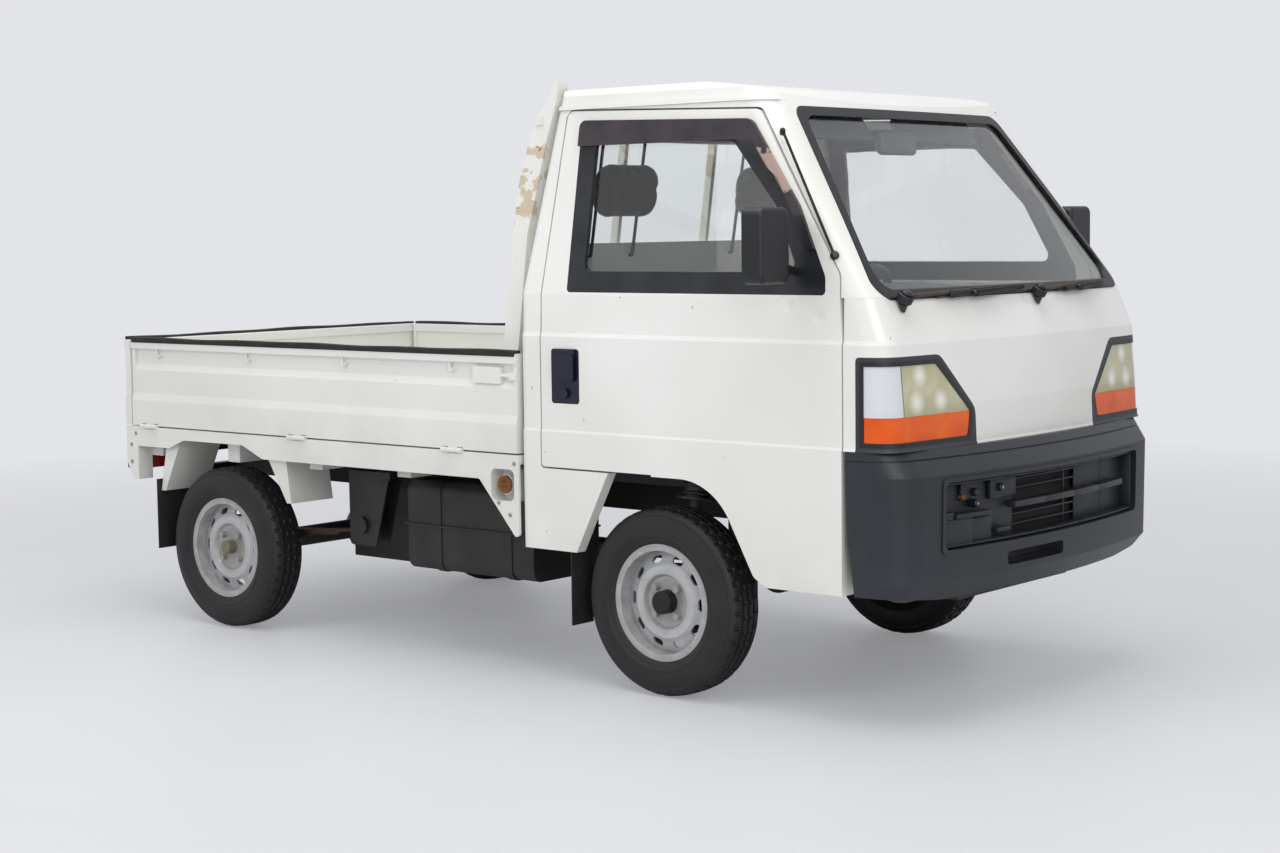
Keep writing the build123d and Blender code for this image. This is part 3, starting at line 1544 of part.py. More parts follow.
eye_places = [
    (rear_axle_x + spring_front_reach, eye_height(spring_front_reach)),
    (rear_axle_x - spring_back_reach, eye_height(spring_back_reach)),
]
spring_in = -spring_half + spring_width / 2
spring_out = -spring_half - spring_width / 2
for eye_x, eye_z in eye_places:
    leaves = leaves + cross_rod(eye_x, eye_z, eye_radius, spring_out, spring_in)
    leaves = leaves - cross_rod(eye_x, eye_z, eye_bore_radius, spring_out, spring_in)
bow_x, bow_z = eye_places[0]
shackle_x, shackle_z = eye_places[1]
cheek_in = spring_in + seat_gap
cheek_out = spring_out - seat_gap
bracket = None
for face_y, far_y in ((cheek_out - cheek_wall, cheek_out), (cheek_in, cheek_in + cheek_wall)):
    cheek = side_plate(
        [
            (bow_x - bracket_back, bracket_top_z),
            (bow_x + bracket_front, bracket_top_z),
            (bow_x + bracket_foot, bracket_low_z, edge_round),
            (bow_x - bracket_foot, bracket_low_z, edge_round),
        ],
        face_y,
        far_y,
    )
    shackle = side_plate(
        [
            (shackle_x - eye_radius, shackle_z - eye_radius, edge_round),
            (shackle_x + eye_radius, shackle_z - eye_radius, edge_round),
            (shackle_x + eye_radius, rail_low_z + eye_radius, edge_round),
            (shackle_x - eye_radius, rail_low_z + eye_radius, edge_round),
        ],
        face_y,
        far_y,
    )
    bracket = cheek + shackle if bracket is None else bracket + cheek + shackle
bracket = bracket + cross_rod(bow_x, bow_z, boss_radius, cheek_out - cheek_wall * 3, cheek_out)
for eye_x, eye_z in eye_places:
    bracket = bracket + cross_rod(eye_x, eye_z, eye_pin_radius, cheek_out - cheek_wall, cheek_in + cheek_wall)
bracket = bracket + block(
    bow_x - bracket_back,
    bow_x + bracket_front,
    cheek_out - cheek_wall,
    -frame_half + channel_wall / 2,
    bracket_top_z - edge_round * 2,
    bracket_top_z,
)
bracket = bracket + block(
    shackle_x - eye_radius,
    shackle_x + eye_radius,
    cheek_out - cheek_wall,
    -frame_half + channel_wall / 2,
    rail_low_z,
    rail_low_z + eye_radius * 2,
)
frame = frame + bracket + mirrored(bracket)
front_cut = block(frame_step_x, frame_step_x + seat_gap, -frame_half, frame_half, 0, frame_top_z)
keep("chassis_frame", frame - front_cut)
keep_both("leaf_springs", leaves)

# Rear axle: tube, differential case, brake drums and stubs
axle_tube_half = rear_track_half - rim_width / 2
diff_radius = 88.0
diff_half = 70.0
drum_radius = 106.0
drum_in_half = 562.0
drum_out_half = 614.0
rear_axle = cross_rod(rear_axle_x, tyre_radius, axle_tube_radius, -axle_tube_half, axle_tube_half)
rear_axle = rear_axle + cross_rod(
    rear_axle_x, tyre_radius, stub_radius, -rear_track_half - stub_end, rear_track_half + stub_end
)
for side in (-1, 1):
    rear_axle = rear_axle + cross_rod(
        rear_axle_x, tyre_radius, drum_radius, side * drum_in_half, side * drum_out_half
    )
rear_axle = rear_axle + Pos(rear_axle_x, 0, tyre_radius) * Sphere(diff_radius)
keep("rear_axle", rear_axle)

# Wheels: tyres, and steel rims with oval vents, nuts and a cap
bead_half = rim_width / 2 - rim_wall - seat_gap
tyre_half = tyre_width / 2
bulge_radius = (tyre_radius + rim_radius) / 2
tyre_section = [
    (rim_seat_radius, -bead_half + rim_lip),
    (rim_radius + seat_gap, -bead_half),
    (rim_radius + rim_lip, -tyre_half + rim_lip),
    (bulge_radius, -tyre_half),
    (tyre_radius - tyre_shoulder, -tyre_half + edge_round / 2),
    (tyre_radius - rim_lip, -tyre_half + tyre_shoulder / 2),
    (tyre_radius - edge_round / 4, -tyre_half + tyre_shoulder),
    (tyre_radius, -tyre_half + tyre_shoulder * 2),
]
tyre_points = [*tyre_section, *[(radius, -across) for radius, across in reversed(tyre_section)]]
tyre = revolve(Plane.XZ * outline_face(tyre_points), axis=Axis.Z)
rim_half = rim_width / 2
barrel_points = [
    (rim_seat_radius - rim_wall, -rim_half),
    (rim_radius, -rim_half),
    (rim_radius, -rim_half + rim_wall),
    (rim_seat_radius - seat_gap, -rim_half + rim_lip + rim_wall),
    (rim_seat_radius - seat_gap, rim_half - rim_lip - rim_wall),
    (rim_radius, rim_half - rim_wall),
    (rim_radius, rim_half),
    (rim_seat_radius - rim_wall, rim_half),
]
# Columns: radius, outward place of the disc's outer face
disc_profile = [
    (stub_radius + bearing_play, 24.0),
    (72.0, 24.0),
    (80.0, disc_outer_dish),
    (104.0, disc_outer_dish),
    (118.0, 26.0),
    (rim_seat_radius - rim_wall / 2, 12.0),
]
disc_back = [(radius, out - disc_wall) for radius, out in reversed(disc_profile)]
rim = revolve(Plane.XZ * outline_face(barrel_points), axis=Axis.Z)
rim = rim + revolve(Plane.XZ * outline_face([*disc_profile, *disc_back]), axis=Axis.Z)
vent = extrude(SlotOverall(vent_length, vent_width), amount=rim_width, both=True)
for index in range(vent_count):
    turn = Rot(0, 0, index * 360 / vent_count)
    rim = rim - turn * Pos(vent_radius, 0, 0) * Rot(0, 0, 90) * vent
nut_face = disc_profile[0][1]
for index in range(nut_count):
    nut = Pos(nut_circle_radius, 0, nut_face + nut_height / 2) * Cylinder(nut_radius, nut_height)
    rim = rim + Rot(0, 0, (index + 1 / 2) * 360 / nut_count) * nut
# Columns: name, axle place, middle of the right tyre, cap radius
wheel_places = [
    ("front", front_axle_x, front_track_half, front_cap_radius),
    ("rear", rear_axle_x, rear_track_half, rear_cap_radius),
]
for name, axle_x, track_half, cap_radius in wheel_places:
    outward = Pos(axle_x, -track_half, tyre_radius) * Rot(90, 0, 0)
    keep_pair("tyre_" + name, outward * tyre)
    cap = Pos(0, 0, nut_face + cap_height / 2) * Cylinder(cap_radius, cap_height)
    cap = fillet(cap.edges().sort_by(Axis.Z)[-1], cap_dome)
    cap = cap - Pos(0, 0, nut_face) * Cylinder(stub_radius + bearing_play, (stub_end - nut_face + cap_wall) * 2)
    keep_pair("rim_" + name, outward * (rim + cap))

# Fuel tank with its seam and straps
tank_x0 = cab_back_x - 576.0
tank_x1 = cab_back_x - 40.0
tank_out_half = 600.0
tank_in_half = frame_half + seat_gap
tank_low_z = 267.0
tank_top_z = 547.0
tank_round = 34.0
tank_seam = 8.0
tank_seam_height = 6.0
strap_width = 30.0
strap_out = 3.0
strap_shares = (0.22, 0.78)
tank_middle_z = (tank_low_z + tank_top_z) / 2
fuel_tank = block(tank_x0, tank_x1, -tank_out_half, -tank_in_half, tank_low_z, tank_top_z)
fuel_tank = fillet(fuel_tank.edges().filter_by(Axis.X), tank_round)
for share in strap_shares:
    strap_x = tank_x0 + (tank_x1 - tank_x0) * share
    strap = block(
        strap_x,
        strap_x + strap_width,
        -tank_out_half - strap_out,
        -tank_in_half,
        tank_low_z - strap_out,
        tank_top_z,
    )
    fuel_tank = fuel_tank + fillet(strap.edges().filter_by(Axis.X), tank_round)
fuel_tank = fuel_tank + block(
    tank_x0 - tank_seam,
    tank_x1 + tank_seam,
    -tank_out_half - tank_seam,
    -tank_in_half,
    tank_middle_z,
    tank_middle_z + tank_seam_height,
)
keep("fuel_tank", fuel_tank)

# Engine as one plain block, and the shaft that runs from it to the front gear case
engine_x0 = rear_axle_x + 179.5
engine_x1 = engine_x0 + 500.0
engine_half = 240.0
engine_low_z = 210.0
engine = block(engine_x0, engine_x1, -engine_half, engine_half, engine_low_z, rail_low_z - seat_gap)
keep("engine_block", engine)
shaft_radius = 24.0
shaft_z = tyre_radius + shaft_radius
gear_case_radius = 70.0
gear_case_half = 110.0
prop_shaft = long_rod(0, shaft_z, shaft_radius, engine_x1, front_axle_x)
prop_shaft = prop_shaft + cross_rod(front_axle_x, shaft_z, gear_case_radius, -gear_case_half, gear_case_half)
prop_shaft = prop_shaft + block(
    front_axle_x - leg_half,
    front_axle_x + leg_half,
    -gear_case_half,
    gear_case_half,
    shaft_z,
    rail_low_z - seat_gap,
)
keep("propeller_shaft", prop_shaft)

# Mud flaps behind the wheels
flap_wall = 4.0
flap_front_x = cab_back_x + 191.0
flap_low_z = 177.0
flap_high_z = 470.0
flap_out_half = 690.0
flap_in_half = 598.0
flaps = block(flap_front_x, flap_front_x + flap_wall, -flap_out_half, -flap_in_half, flap_low_z, flap_high_z)
flap_side_half = cab_half - cab_wall - seat_gap
flaps = flaps - block(
    flap_front_x, flap_front_x + flap_wall, -cab_half, -flap_side_half, opening_back_z - seat_gap, flap_high_z
)
keep_both("front_mud_flaps", flaps)
rear_flap_x = notch_back_x - stay_wall * 7 / 2 - flap_wall - seat_gap
rear_flap_low_z = 244.0
rear_flap_high_z = stay_low_z + overrun * 2
rear_flap_in_half = 545.0
rear_flap = block(
    rear_flap_x, rear_flap_x + flap_wall, -flap_out_half, -rear_flap_in_half, rear_flap_low_z, rear_flap_high_z
)
keep_both("rear_mud_flaps", rear_flap)

# Tail lamps under the bed's rear edge
lamp_width = 180.0
lamp_height = 80.0
lamp_depth = 40.0
tail_lamp = block(
    bed_back_x,
    bed_back_x + lamp_depth,
    -bed_half + beam_width + panel_gap,
    -bed_half + beam_width + panel_gap + lamp_width,
    tail_low_z - lamp_height - seat_gap,
    tail_low_z - seat_gap,
)
tail_lamp = fillet(tail_lamp.faces().sort_by(Axis.X)[0].edges(), gate_round)
keep_both("tail_lamps", tail_lamp)
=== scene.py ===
# %% [markdown]
# # A small cab-over pickup truck, dressed in Blender
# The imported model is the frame: its parts carry the real sizes and the joints, and
# nothing in them is moved. This script gives every part a finish made from shader
# nodes, and adds the small pieces that a maker would fit last.

# %% The frame and its size
import json
from functools import partial
from math import atan, atan2, cos, pi, radians, sin, sqrt
import bmesh
import bpy
from mathutils import Matrix, Vector


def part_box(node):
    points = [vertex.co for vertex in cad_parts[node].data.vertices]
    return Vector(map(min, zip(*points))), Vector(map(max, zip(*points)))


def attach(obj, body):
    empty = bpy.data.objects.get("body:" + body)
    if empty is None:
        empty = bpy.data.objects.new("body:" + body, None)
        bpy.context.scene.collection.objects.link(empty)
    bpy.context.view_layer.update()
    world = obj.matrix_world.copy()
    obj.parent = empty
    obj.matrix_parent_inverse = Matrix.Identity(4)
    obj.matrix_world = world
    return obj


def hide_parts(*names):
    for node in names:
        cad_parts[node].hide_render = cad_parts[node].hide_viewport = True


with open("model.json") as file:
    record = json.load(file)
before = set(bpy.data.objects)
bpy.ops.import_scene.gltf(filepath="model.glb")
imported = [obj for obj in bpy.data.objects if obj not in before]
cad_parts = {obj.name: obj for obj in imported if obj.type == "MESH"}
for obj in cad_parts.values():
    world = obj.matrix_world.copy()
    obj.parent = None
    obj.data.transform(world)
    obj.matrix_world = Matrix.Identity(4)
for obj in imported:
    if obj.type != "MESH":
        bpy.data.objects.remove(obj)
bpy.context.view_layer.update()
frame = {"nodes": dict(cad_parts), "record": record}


# %% [markdown]
# A finish is built from a few nodes. One helper adds a node, sets its own values and
# feeds its sockets in turn, either with a number or from another node's output. It
# gives back the node's first output, so that each material reads from top to bottom.
# A Mix takes its share first; a MapRange takes the value, then from what to what.

# %% Helpers for the finishes
def linear(hex_colour):
    """An sRGB hex colour as the linear values that Blender works in."""
    channels = [int(hex_colour[i:i + 2], 16) / 255 for i in (1, 3, 5)]
    return tuple(c / 12.92 if c <= 0.04045 else ((c + 0.055) / 1.055) ** 2.4 for c in channels) + (1.0,)


def add_node(tree, kind, *values, named=None, **settings):
    """Adds one node with its settings, feeds its open sockets in turn and the named ones."""
    node = tree.nodes.new("ShaderNode" + kind)
    for name, value in settings.items():
        setattr(node, name, value)
    feeds = list(zip([socket for socket in node.inputs if socket.enabled], values))
    feeds += [(node.inputs[name], value) for name, value in (named or {}).items()]
    for socket, value in feeds:
        if isinstance(value, bpy.types.NodeSocket):
            tree.links.new(value, socket)
        else:
            socket.default_value = value
    return next((socket for socket in node.outputs if socket.enabled), None)


def start_material(name, constants):
    """A material with one Principled shader, whose constant values sit on its own sockets."""
    material = bpy.data.materials.new(name)
    material.use_nodes = True
    material.node_tree.nodes.clear()
    add = partial(add_node, material.node_tree)
    shader = add("BsdfPrincipled", named=constants)
    add("OutputMaterial", shader)
    return material, add, shader.node, add("TexCoord").node.outputs["Object"]


def patches(add, place, size_mm, detail, low, high, start=0.0, end=1.0):
    """Patches about that wide: noise, spread from low to high onto start to end."""
    return add("MapRange", add("TexNoise", place, 1000 / size_mm, detail, 0.55), low, high, start, end)


def feed(add, shader, feeds, relief=None, depth_mm=0.0, strength=0.7):
    """Feeds the shader's sockets by name, with a small relief of that depth if one is given."""
    if relief:
        feeds["Normal"] = add("Bump", named={
            "Height": relief, "Distance": depth_mm / 1000, "Strength": strength,
        })
    for name, output in feeds.items():
        shader.id_data.links.new(output, shader.inputs[name])


def finish_nodes(material, *names):
    """Gives CAD nodes a finish in place of the plain one."""
    for name in names:
        node = frame["nodes"][name]
        node.data.materials.clear()
        node.data.materials.append(material)


# %% [markdown]
# Round each front lamp a dark moulded rim lies flush in the nose. It could be a piece of
# its own, but it has no step to show, so the place alone colours it: the smooth least
# of four distances gives its outline with rounded corners.

# %% Lamp rims
rim_inner = 0.320
rim_top = 0.989
rim_back = 1.432
# The inner edge leans: it moves out 0.952 m for each metre up. The scale turns a distance
# across the truck into one square to that edge.
rim_lean = 0.952
rim_lean_start = -0.4768
rim_lean_scale = 0.724
rim_rounding = 0.02


def lamp_rim(add, place):
    """1 on the dark rim around the front lamps, which widens their bezels to 24 mm."""
    axes = add("SeparateXYZ", place).node.outputs
    out = add("Math", axes["Y"], operation="ABSOLUTE")
    climb = add("Math", axes["Z"], rim_lean, operation="MULTIPLY")
    slanted = add("Math", out, climb, operation="SUBTRACT")
    past_slant = add("Math", slanted, -rim_lean_start, operation="ADD")
    margin = add("Math", out, rim_inner, operation="SUBTRACT")
    for edge in (
        add("Math", past_slant, rim_lean_scale, operation="MULTIPLY"),
        add("Math", rim_top, axes["Z"], operation="SUBTRACT"),
        add("Math", axes["X"], rim_back, operation="SUBTRACT"),
    ):
        margin = add("Math", margin, edge, rim_rounding, operation="SMOOTH_MIN")
    return add("MapRange", margin, -0.0005, 0.0005)


# %% [markdown]
# The body is pressed steel under a baked warm white enamel. It is old but clean: the
# gloss is a little soft, road dust lies low on the panels, the tone wanders slightly,
# and a few stone chips show brown. On the guard frame the paint is worn through to a
# tan primer where loads have rubbed. The dents are relief, because they are shallower
# than the light model's facets.

# %% Body enamel
worn_middle = 1.47
soft_gloss, dull_gloss = 0.30, 0.50
full_coat, thin_coat = 0.45, 0.10


def white_enamel(name, base, dust, dust_top, dust_share, worn_share=0.0, dents=(), lamps=False):
    """Baked enamel; each dent is a shallow round pit, given by its X, Z and radius."""
    material, add, shader, place = start_material(name, {
        "Roughness": soft_gloss, "Coat Weight": full_coat, "Coat Roughness": 0.08,
    })
    height = add("SeparateXYZ", place).node.outputs["Z"]
    wander = patches(add, place, 700, 2.0, 0.35, 0.65)
    tone = add("Mix", wander, linear(base), linear("#e2e1db"), data_type="RGBA")
    low = add("MapRange", height, dust_top, 0.30)
    low_dust = add("Math", low, patches(add, place, 160, 5.0, 0.30, 0.80), operation="MULTIPLY")
    film = add("Math", low_dust, dust_share, operation="MULTIPLY")
    dusty = add("Mix", film, tone, linear(dust), data_type="RGBA")
    specks = add("MapRange", add("TexNoise", place, 1000 / 22, 2.0, 0.5), 0.785, 0.795)
    chips = add("Math", specks, 0.55, operation="MULTIPLY")
    colour = add("Mix", chips, dusty, linear("#7c6a55"), data_type="RGBA")
    feeds = {}
    if lamps:
        rim = lamp_rim(add, place)
        colour = add("Mix", rim, colour, linear("#2b2d33"), data_type="RGBA")
        feeds["Roughness"] = add("MapRange", rim, 0.0, 1.0, soft_gloss, dull_gloss)
        feeds["Coat Weight"] = add("MapRange", rim, 0.0, 1.0, full_coat, thin_coat)
    if worn_share:
        blotches = add("TexNoise", place, 1000 / 75, 6.0, 0.62)
        rubbed = add("MapRange", blotches, 0.62 - worn_share, 0.64 - worn_share)
        offset = add("Math", height, worn_middle, operation="SUBTRACT")
        away = add("Math", offset, operation="ABSOLUTE")
        band = add("MapRange", away, 0.09, 0.14, 1.0, 0.0)
        rubbed = add("Math", rubbed, band, operation="MULTIPLY")
        primer = add("Math", rubbed, 0.8, operation="MULTIPLY")
        colour = add("Mix", primer, colour, linear("#c3b08e"), data_type="RGBA")
        pits = add("TexNoise", place, 1000 / 48, 6.0, 0.65)
        bare = add("MapRange", pits, 0.70 - worn_share, 0.71 - worn_share)
        rust = add("Math", bare, rubbed, operation="MULTIPLY")
        colour = add("Mix", rust, colour, linear("#8a5b38"), data_type="RGBA")
    feeds["Base Color"] = colour
    ripple = add("TexNoise", place, 1000 / 220, 1.0, 0.55)
    relief = add("Math", ripple, 0.10, operation="MULTIPLY")
    for dent_x, dent_z, dent_radius in dents:
        centre = add("CombineXYZ", dent_x, 0.0, dent_z)
        flat = add("VectorMath", place, (1, 0, 1), operation="MULTIPLY")
        away = add("VectorMath", flat, centre, operation="DISTANCE")
        pit = add("MapRange", away, 0.0, dent_radius, -1.0, 0.0)
        relief = add("Math", relief, pit, operation="ADD")
    feed(add, shader, feeds, relief, 4.0, 0.8)
    return material


door_dents = ((1.214, 1.121, 0.022), (1.198, 1.138, 0.012), (1.311, 1.091, 0.026))
body_tones = ("#edede9", "#aaa595", 0.62, 0.35)
body_enamel = white_enamel("aged_white_enamel_on_pressed_steel", *body_tones, lamps=True)
door_enamel = white_enamel("dented_white_enamel_on_the_doors", *body_tones, dents=door_dents)
bed_enamel = white_enamel("scuffed_white_enamel_on_the_bed", "#e9e9e4", "#a39d8c", 0.90, 0.55)
guard_enamel = white_enamel("white_enamel_worn_to_tan_primer", "#e8e7e1", "#a39d8c", 0.90, 0.5, 0.07)
print("made the four enamels")


# %% [markdown]
# The bumper and trims are moulded polypropylene: dark blue-grey, a little chalky where
# the sun has bleached it, with the fine grain that the mould leaves. The cab's lining
# is a lighter grey of the same kind. One function makes them all, because only the
# tones and the gloss differ.

# %% Moulded plastics
def moulded_plastic(name, base, chalk, chalk_share, roughness=0.5):
    """Bleaching in soft patches over the base, and a mould grain of about 2 mm."""
    material, add, shader, place = start_material(name, {"Roughness": roughness, "IOR": 1.49})
    worn = add("Math", patches(add, place, 240, 3.0, 0.35, 0.75), chalk_share, operation="MULTIPLY")
    colour = add("Mix", worn, linear(base), linear(chalk), data_type="RGBA")
    mould_grain = add("TexNoise", place, 1000 / 2.2, 2.0, 0.55)
    feed(add, shader, {"Base Color": colour}, mould_grain, 0.10, 0.5)
    return material


bumper_plastic = moulded_plastic("bleached_dark_polypropylene", "#1f2228", "#343941", 0.35, 0.42)
recess_plastic = moulded_plastic("shaded_dark_polypropylene", "#1c1f24", "#2d3137", 0.30, 0.5)
trim_plastic = moulded_plastic("black_moulded_trim", "#141518", "#2e3034", 0.30, 0.42)
handle_plastic = moulded_plastic("glossy_navy_handle", "#14162a", "#24263a", 0.30, 0.28)
interior_plastic = moulded_plastic("grey_moulded_cab_lining", "#585e63", "#6f7579", 0.35, 0.62)
void_black = moulded_plastic("unlit_black_behind_the_mouth", "#050506", "#0b0b0c", 0.30, 0.8)
print("made the moulded plastics")

# %% [markdown]
# The door's window trim is one CAD node, but two things on the truck: a black sash and
# a smoked acrylic rain visor, whose peeling film leaves a pinkish patch. Its finish
# changes by height and by the distance past the slanted front edge.

# %% Window surround
# The window's front edge is the line where Z + 1.28 X is constant, in metres.
pillar_slope = 1.28
visor_front, visor_low, visor_top = 2.915, 1.355, 1.560
peel_start, peel_end = 2.955, 3.045
peel_low, peel_high = 1.462, 1.572


def window_surround():
    """Black sash below and behind, and a smoked acrylic rain visor along the top and front."""
    material, add, shader, place = start_material("smoked_visor_over_black_sash", {"IOR": 1.49})
    axes = add("SeparateXYZ", place).node.outputs
    lean = add("Math", axes["X"], pillar_slope, operation="MULTIPLY")
    slant = add("Math", axes["Z"], lean, operation="ADD")
    front = add("MapRange", slant, visor_front, visor_front + 0.010)
    high = add("MapRange", axes["Z"], visor_low, visor_low + 0.010)
    top = add("MapRange", axes["Z"], visor_top, visor_top + 0.006)
    high_front = add("Math", front, high, operation="MULTIPLY")
    visor = add("Math", top, high_front, operation="MAXIMUM")
    clouds = patches(add, place, 90, 3.0, 0.3, 0.7)
    smoke = add("Mix", clouds, linear("#2b262c"), linear("#3d3439"), data_type="RGBA")

    uneven = add("TexNoise", place, 1000 / 34, 4.0, 0.55)
    ragged = add("Math", uneven, 0.10, operation="MULTIPLY")
    edge = add("Math", slant, ragged, operation="ADD")
    stripe = add("Math", add("MapRange", edge, peel_start, peel_start + 0.007),
                 add("MapRange", edge, peel_end, peel_end + 0.007, 1.0, 0.0), operation="MULTIPLY")
    uneven = add("TexNoise", place, 1000 / 26, 3.0, 0.55)
    ragged = add("Math", uneven, 0.08, operation="MULTIPLY")
    level = add("Math", axes["Z"], ragged, operation="ADD")
    band = add("Math", add("MapRange", level, peel_low, peel_low + 0.006),
               add("MapRange", level, peel_high, peel_high + 0.008, 1.0, 0.0), operation="MULTIPLY")
    peeled = add("Math", stripe, band, operation="MULTIPLY")
    share = add("Math", peeled, 0.85, operation="MULTIPLY")
    smoke = add("Mix", share, smoke, linear("#b79c93"), data_type="RGBA")

    chalk = patches(add, place, 120, 3.0, 0.35, 0.7)
    sash = add("Mix", chalk, linear("#101114"), linear("#24262a"), data_type="RGBA")
    feed(add, shader, {
        "Base Color": add("Mix", visor, sash, smoke, data_type="RGBA"),
        "Roughness": add("MapRange", visor, 0.0, 1.0, 0.34, 0.16),
    })
    return material


visor_acrylic = window_surround()
print("made the window surround")


# %% [markdown]
# Lenses are clear moulded acrylic that has yellowed. The headlamp's outer quarter is a
# clear marker lens over a white reflector, so a share of the width, read from the
# place, turns yellow to white. Fine upright flutes spread the light. The reflector
# behind is only painted: three soft painted highlights stand for its reflection, and
# painted shade darkens the lens towards its top and bottom. The amber strip and the red
# rear lamps are tinted through, and the glass of the cab is thin and clear.

# %% Lenses and glass
headlamp_low_z, headlamp_high_z = [corner[2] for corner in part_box("headlamps")]
marker_edge = 0.628
# Columns: each painted highlight's distance out, height and radius
painted_highlight_spots = ((0.553, 0.938, 0.034), (0.573, 0.866, 0.036), (0.470, 0.868, 0.034))


def start_lens(name, colour, deep, roughness, transmission, flute_mm, upright=True):
    """A moulded lens with its tone and its flutes; the tone isn't fed to the shader yet."""
    material, add, shader, place = start_material(name, {
        "Roughness": roughness, "IOR": 1.49, "Transmission Weight": transmission, "Coat Weight": 0.25,
    })
    axes = add("SeparateXYZ", place).node.outputs
    wander = patches(add, place, 110, 2.0, 0.35, 0.65)
    tone = add("Mix", wander, linear(colour), linear(deep), data_type="RGBA")
    flutes = add("TexWave", place, 1000 / flute_mm / 20, 0.0, bands_direction="Y" if upright else "Z")
    feed(add, shader, {}, flutes.node.outputs["Fac"], 0.5, 0.5)
    return material, add, shader, axes, tone


def headlamp_lens():
    """Yellowed lens with painted highlights, painted shade at its top and bottom, a thin joint, and the
    clear marker at the outside.
    """
    material, add, shader, axes, tone = start_lens(
        "yellowed_acrylic_lens", "#d6d2b2", "#bdb78f", 0.12, 0.12, 9.0)
    out = add("Math", axes["Y"], operation="ABSOLUTE")
    marker = add("MapRange", out, marker_edge - 0.001, marker_edge + 0.001)
    # Painted shade: the lens darkens towards its top and bottom edges, as the reflector bowl behind it
    # would.
    middle_z = (headlamp_low_z + headlamp_high_z) / 2
    offset = add("Math", add("Math", axes["Z"], middle_z, operation="SUBTRACT"), operation="ABSOLUTE")
    painted_shade_share = add("MapRange", offset, 0.0, (headlamp_high_z - headlamp_low_z) / 2)
    lens_with_painted_light = add("Mix", painted_shade_share, tone, linear("#bcb793"), data_type="RGBA")
    # Painted highlights: three soft pale spots stand for the reflector's reflection.
    flat = add("CombineXYZ", out, axes["Z"])
    for spot_out, spot_z, spot_radius in painted_highlight_spots:
        spot = add("CombineXYZ", spot_out, spot_z)
        away = add("VectorMath", flat, spot, operation="DISTANCE")
        painted_highlight = add("MapRange", away, 0.0, spot_radius, 1.0, 0.0)
        lens_with_painted_light = add("Mix", painted_highlight, lens_with_painted_light, linear("#fffdf2"), data_type="RGBA")
    colour = add("Mix", marker, lens_with_painted_light, linear("#e4e6ea"), data_type="RGBA")
    from_edge = add("Math", add("Math", out, marker_edge, operation="SUBTRACT"), operation="ABSOLUTE")
    beside = add("MapRange", from_edge, 0.0015, 0.0025)
    colour = add("Mix", beside, linear("#77766a"), colour, data_type="RGBA")
    feed(add, shader, {"Base Color": colour})
    return material


def tinted_lens(name, colour, deep, flute_mm):
    """A lens tinted through, with level flutes."""
    material, add, shader, axes, tone = start_lens(name, colour, deep, 0.16, 0.10, flute_mm, upright=False)
    feed(add, shader, {"Base Color": tone})
    return material


clear_lens = headlamp_lens()
amber_lens = tinted_lens("amber_acrylic_lens", "#f76a06", "#e84f00", 12.0)
red_lens = tinted_lens("red_acrylic_lens", "#b3121a", "#8d0d14", 12.0)


def cab_window_glass():
    """Clear tempered glass under a thin film of dust, which only softens its gloss."""
    material, add, shader, place = start_material("tempered_cab_glass", {
        "IOR": 1.45, "Transmission Weight": 1.0,
    })
    haze = patches(add, place, 500, 3.0, 0.3, 0.7, 0.0, 0.5)
    feed(add, shader, {
        "Base Color": add("Mix", haze, linear("#fbfdfc"), linear("#eef1f0"), data_type="RGBA"),
        "Roughness": patches(add, place, 300, 3.0, 0.3, 0.8, 0.0, 0.03),
    })
    return material


def mirror_silver():
    """Silvered glass: a full mirror, with faint smears in its gloss."""
    material, add, shader, place = start_material("silvered_mirror_glass", {
        "Metallic": 1.0, "Base Color": linear("#dfe3e6"),
    })
    feed(add, shader, {"Roughness": patches(add, place, 60, 3.0, 0.3, 0.8, 0.02, 0.10)})
    return material


cab_glass = cab_window_glass()
mirror_glass = mirror_silver()
print("made the lenses and the glass")


# %% [markdown]
# Seats wear a charcoal woven cloth over foam. Tyres are carbon-black rubber, greyed by
# dust on the wall. The metal below is black chassis paint gone dull with road film,
# and bare steel is brown with light rust.

# %% Cloth, rubber and metal
# A thread is under 1 mm wide. It is drawn 3 mm wide, so that the weave shows.
thread_mm = 3.0
chassis_black, chassis_film = "#131416", "#3c372f"


def woven_cloth(name, base, light):
    """Cloth with a cell of relief for each thread and a slight melange of two tones."""
    material, add, shader, place = start_material(name, {"Roughness": 0.92, "Sheen Weight": 0.25})
    threads = add("TexVoronoi", place, 1000 / thread_mm)
    melange = patches(add, place, 12, 3.0, 0.3, 0.7)
    tone = add("Mix", melange, linear(base), linear(light), data_type="RGBA")
    feed(add, shader, {"Base Color": tone}, threads, 0.5)
    return material


def dull_coat(name, base, film, film_share, roughness=0.7, metallic=0.0, relief_mm=0.15, spot_mm=120):
    """A dull base under patches of road film or rust, with a fine roughness of about 9 mm."""
    material, add, shader, place = start_material(name, {"Roughness": roughness, "Metallic": metallic})
    dusty = add("Math", patches(add, place, spot_mm, 5.0, 0.35, 0.75), film_share, operation="MULTIPLY")
    colour = add("Mix", dusty, linear(base), linear(film), data_type="RGBA")
    uneven = add("TexNoise", place, 1000 / 9.0, 3.0, 0.55)
    feed(add, shader, {"Base Color": colour}, uneven, relief_mm)
    return material


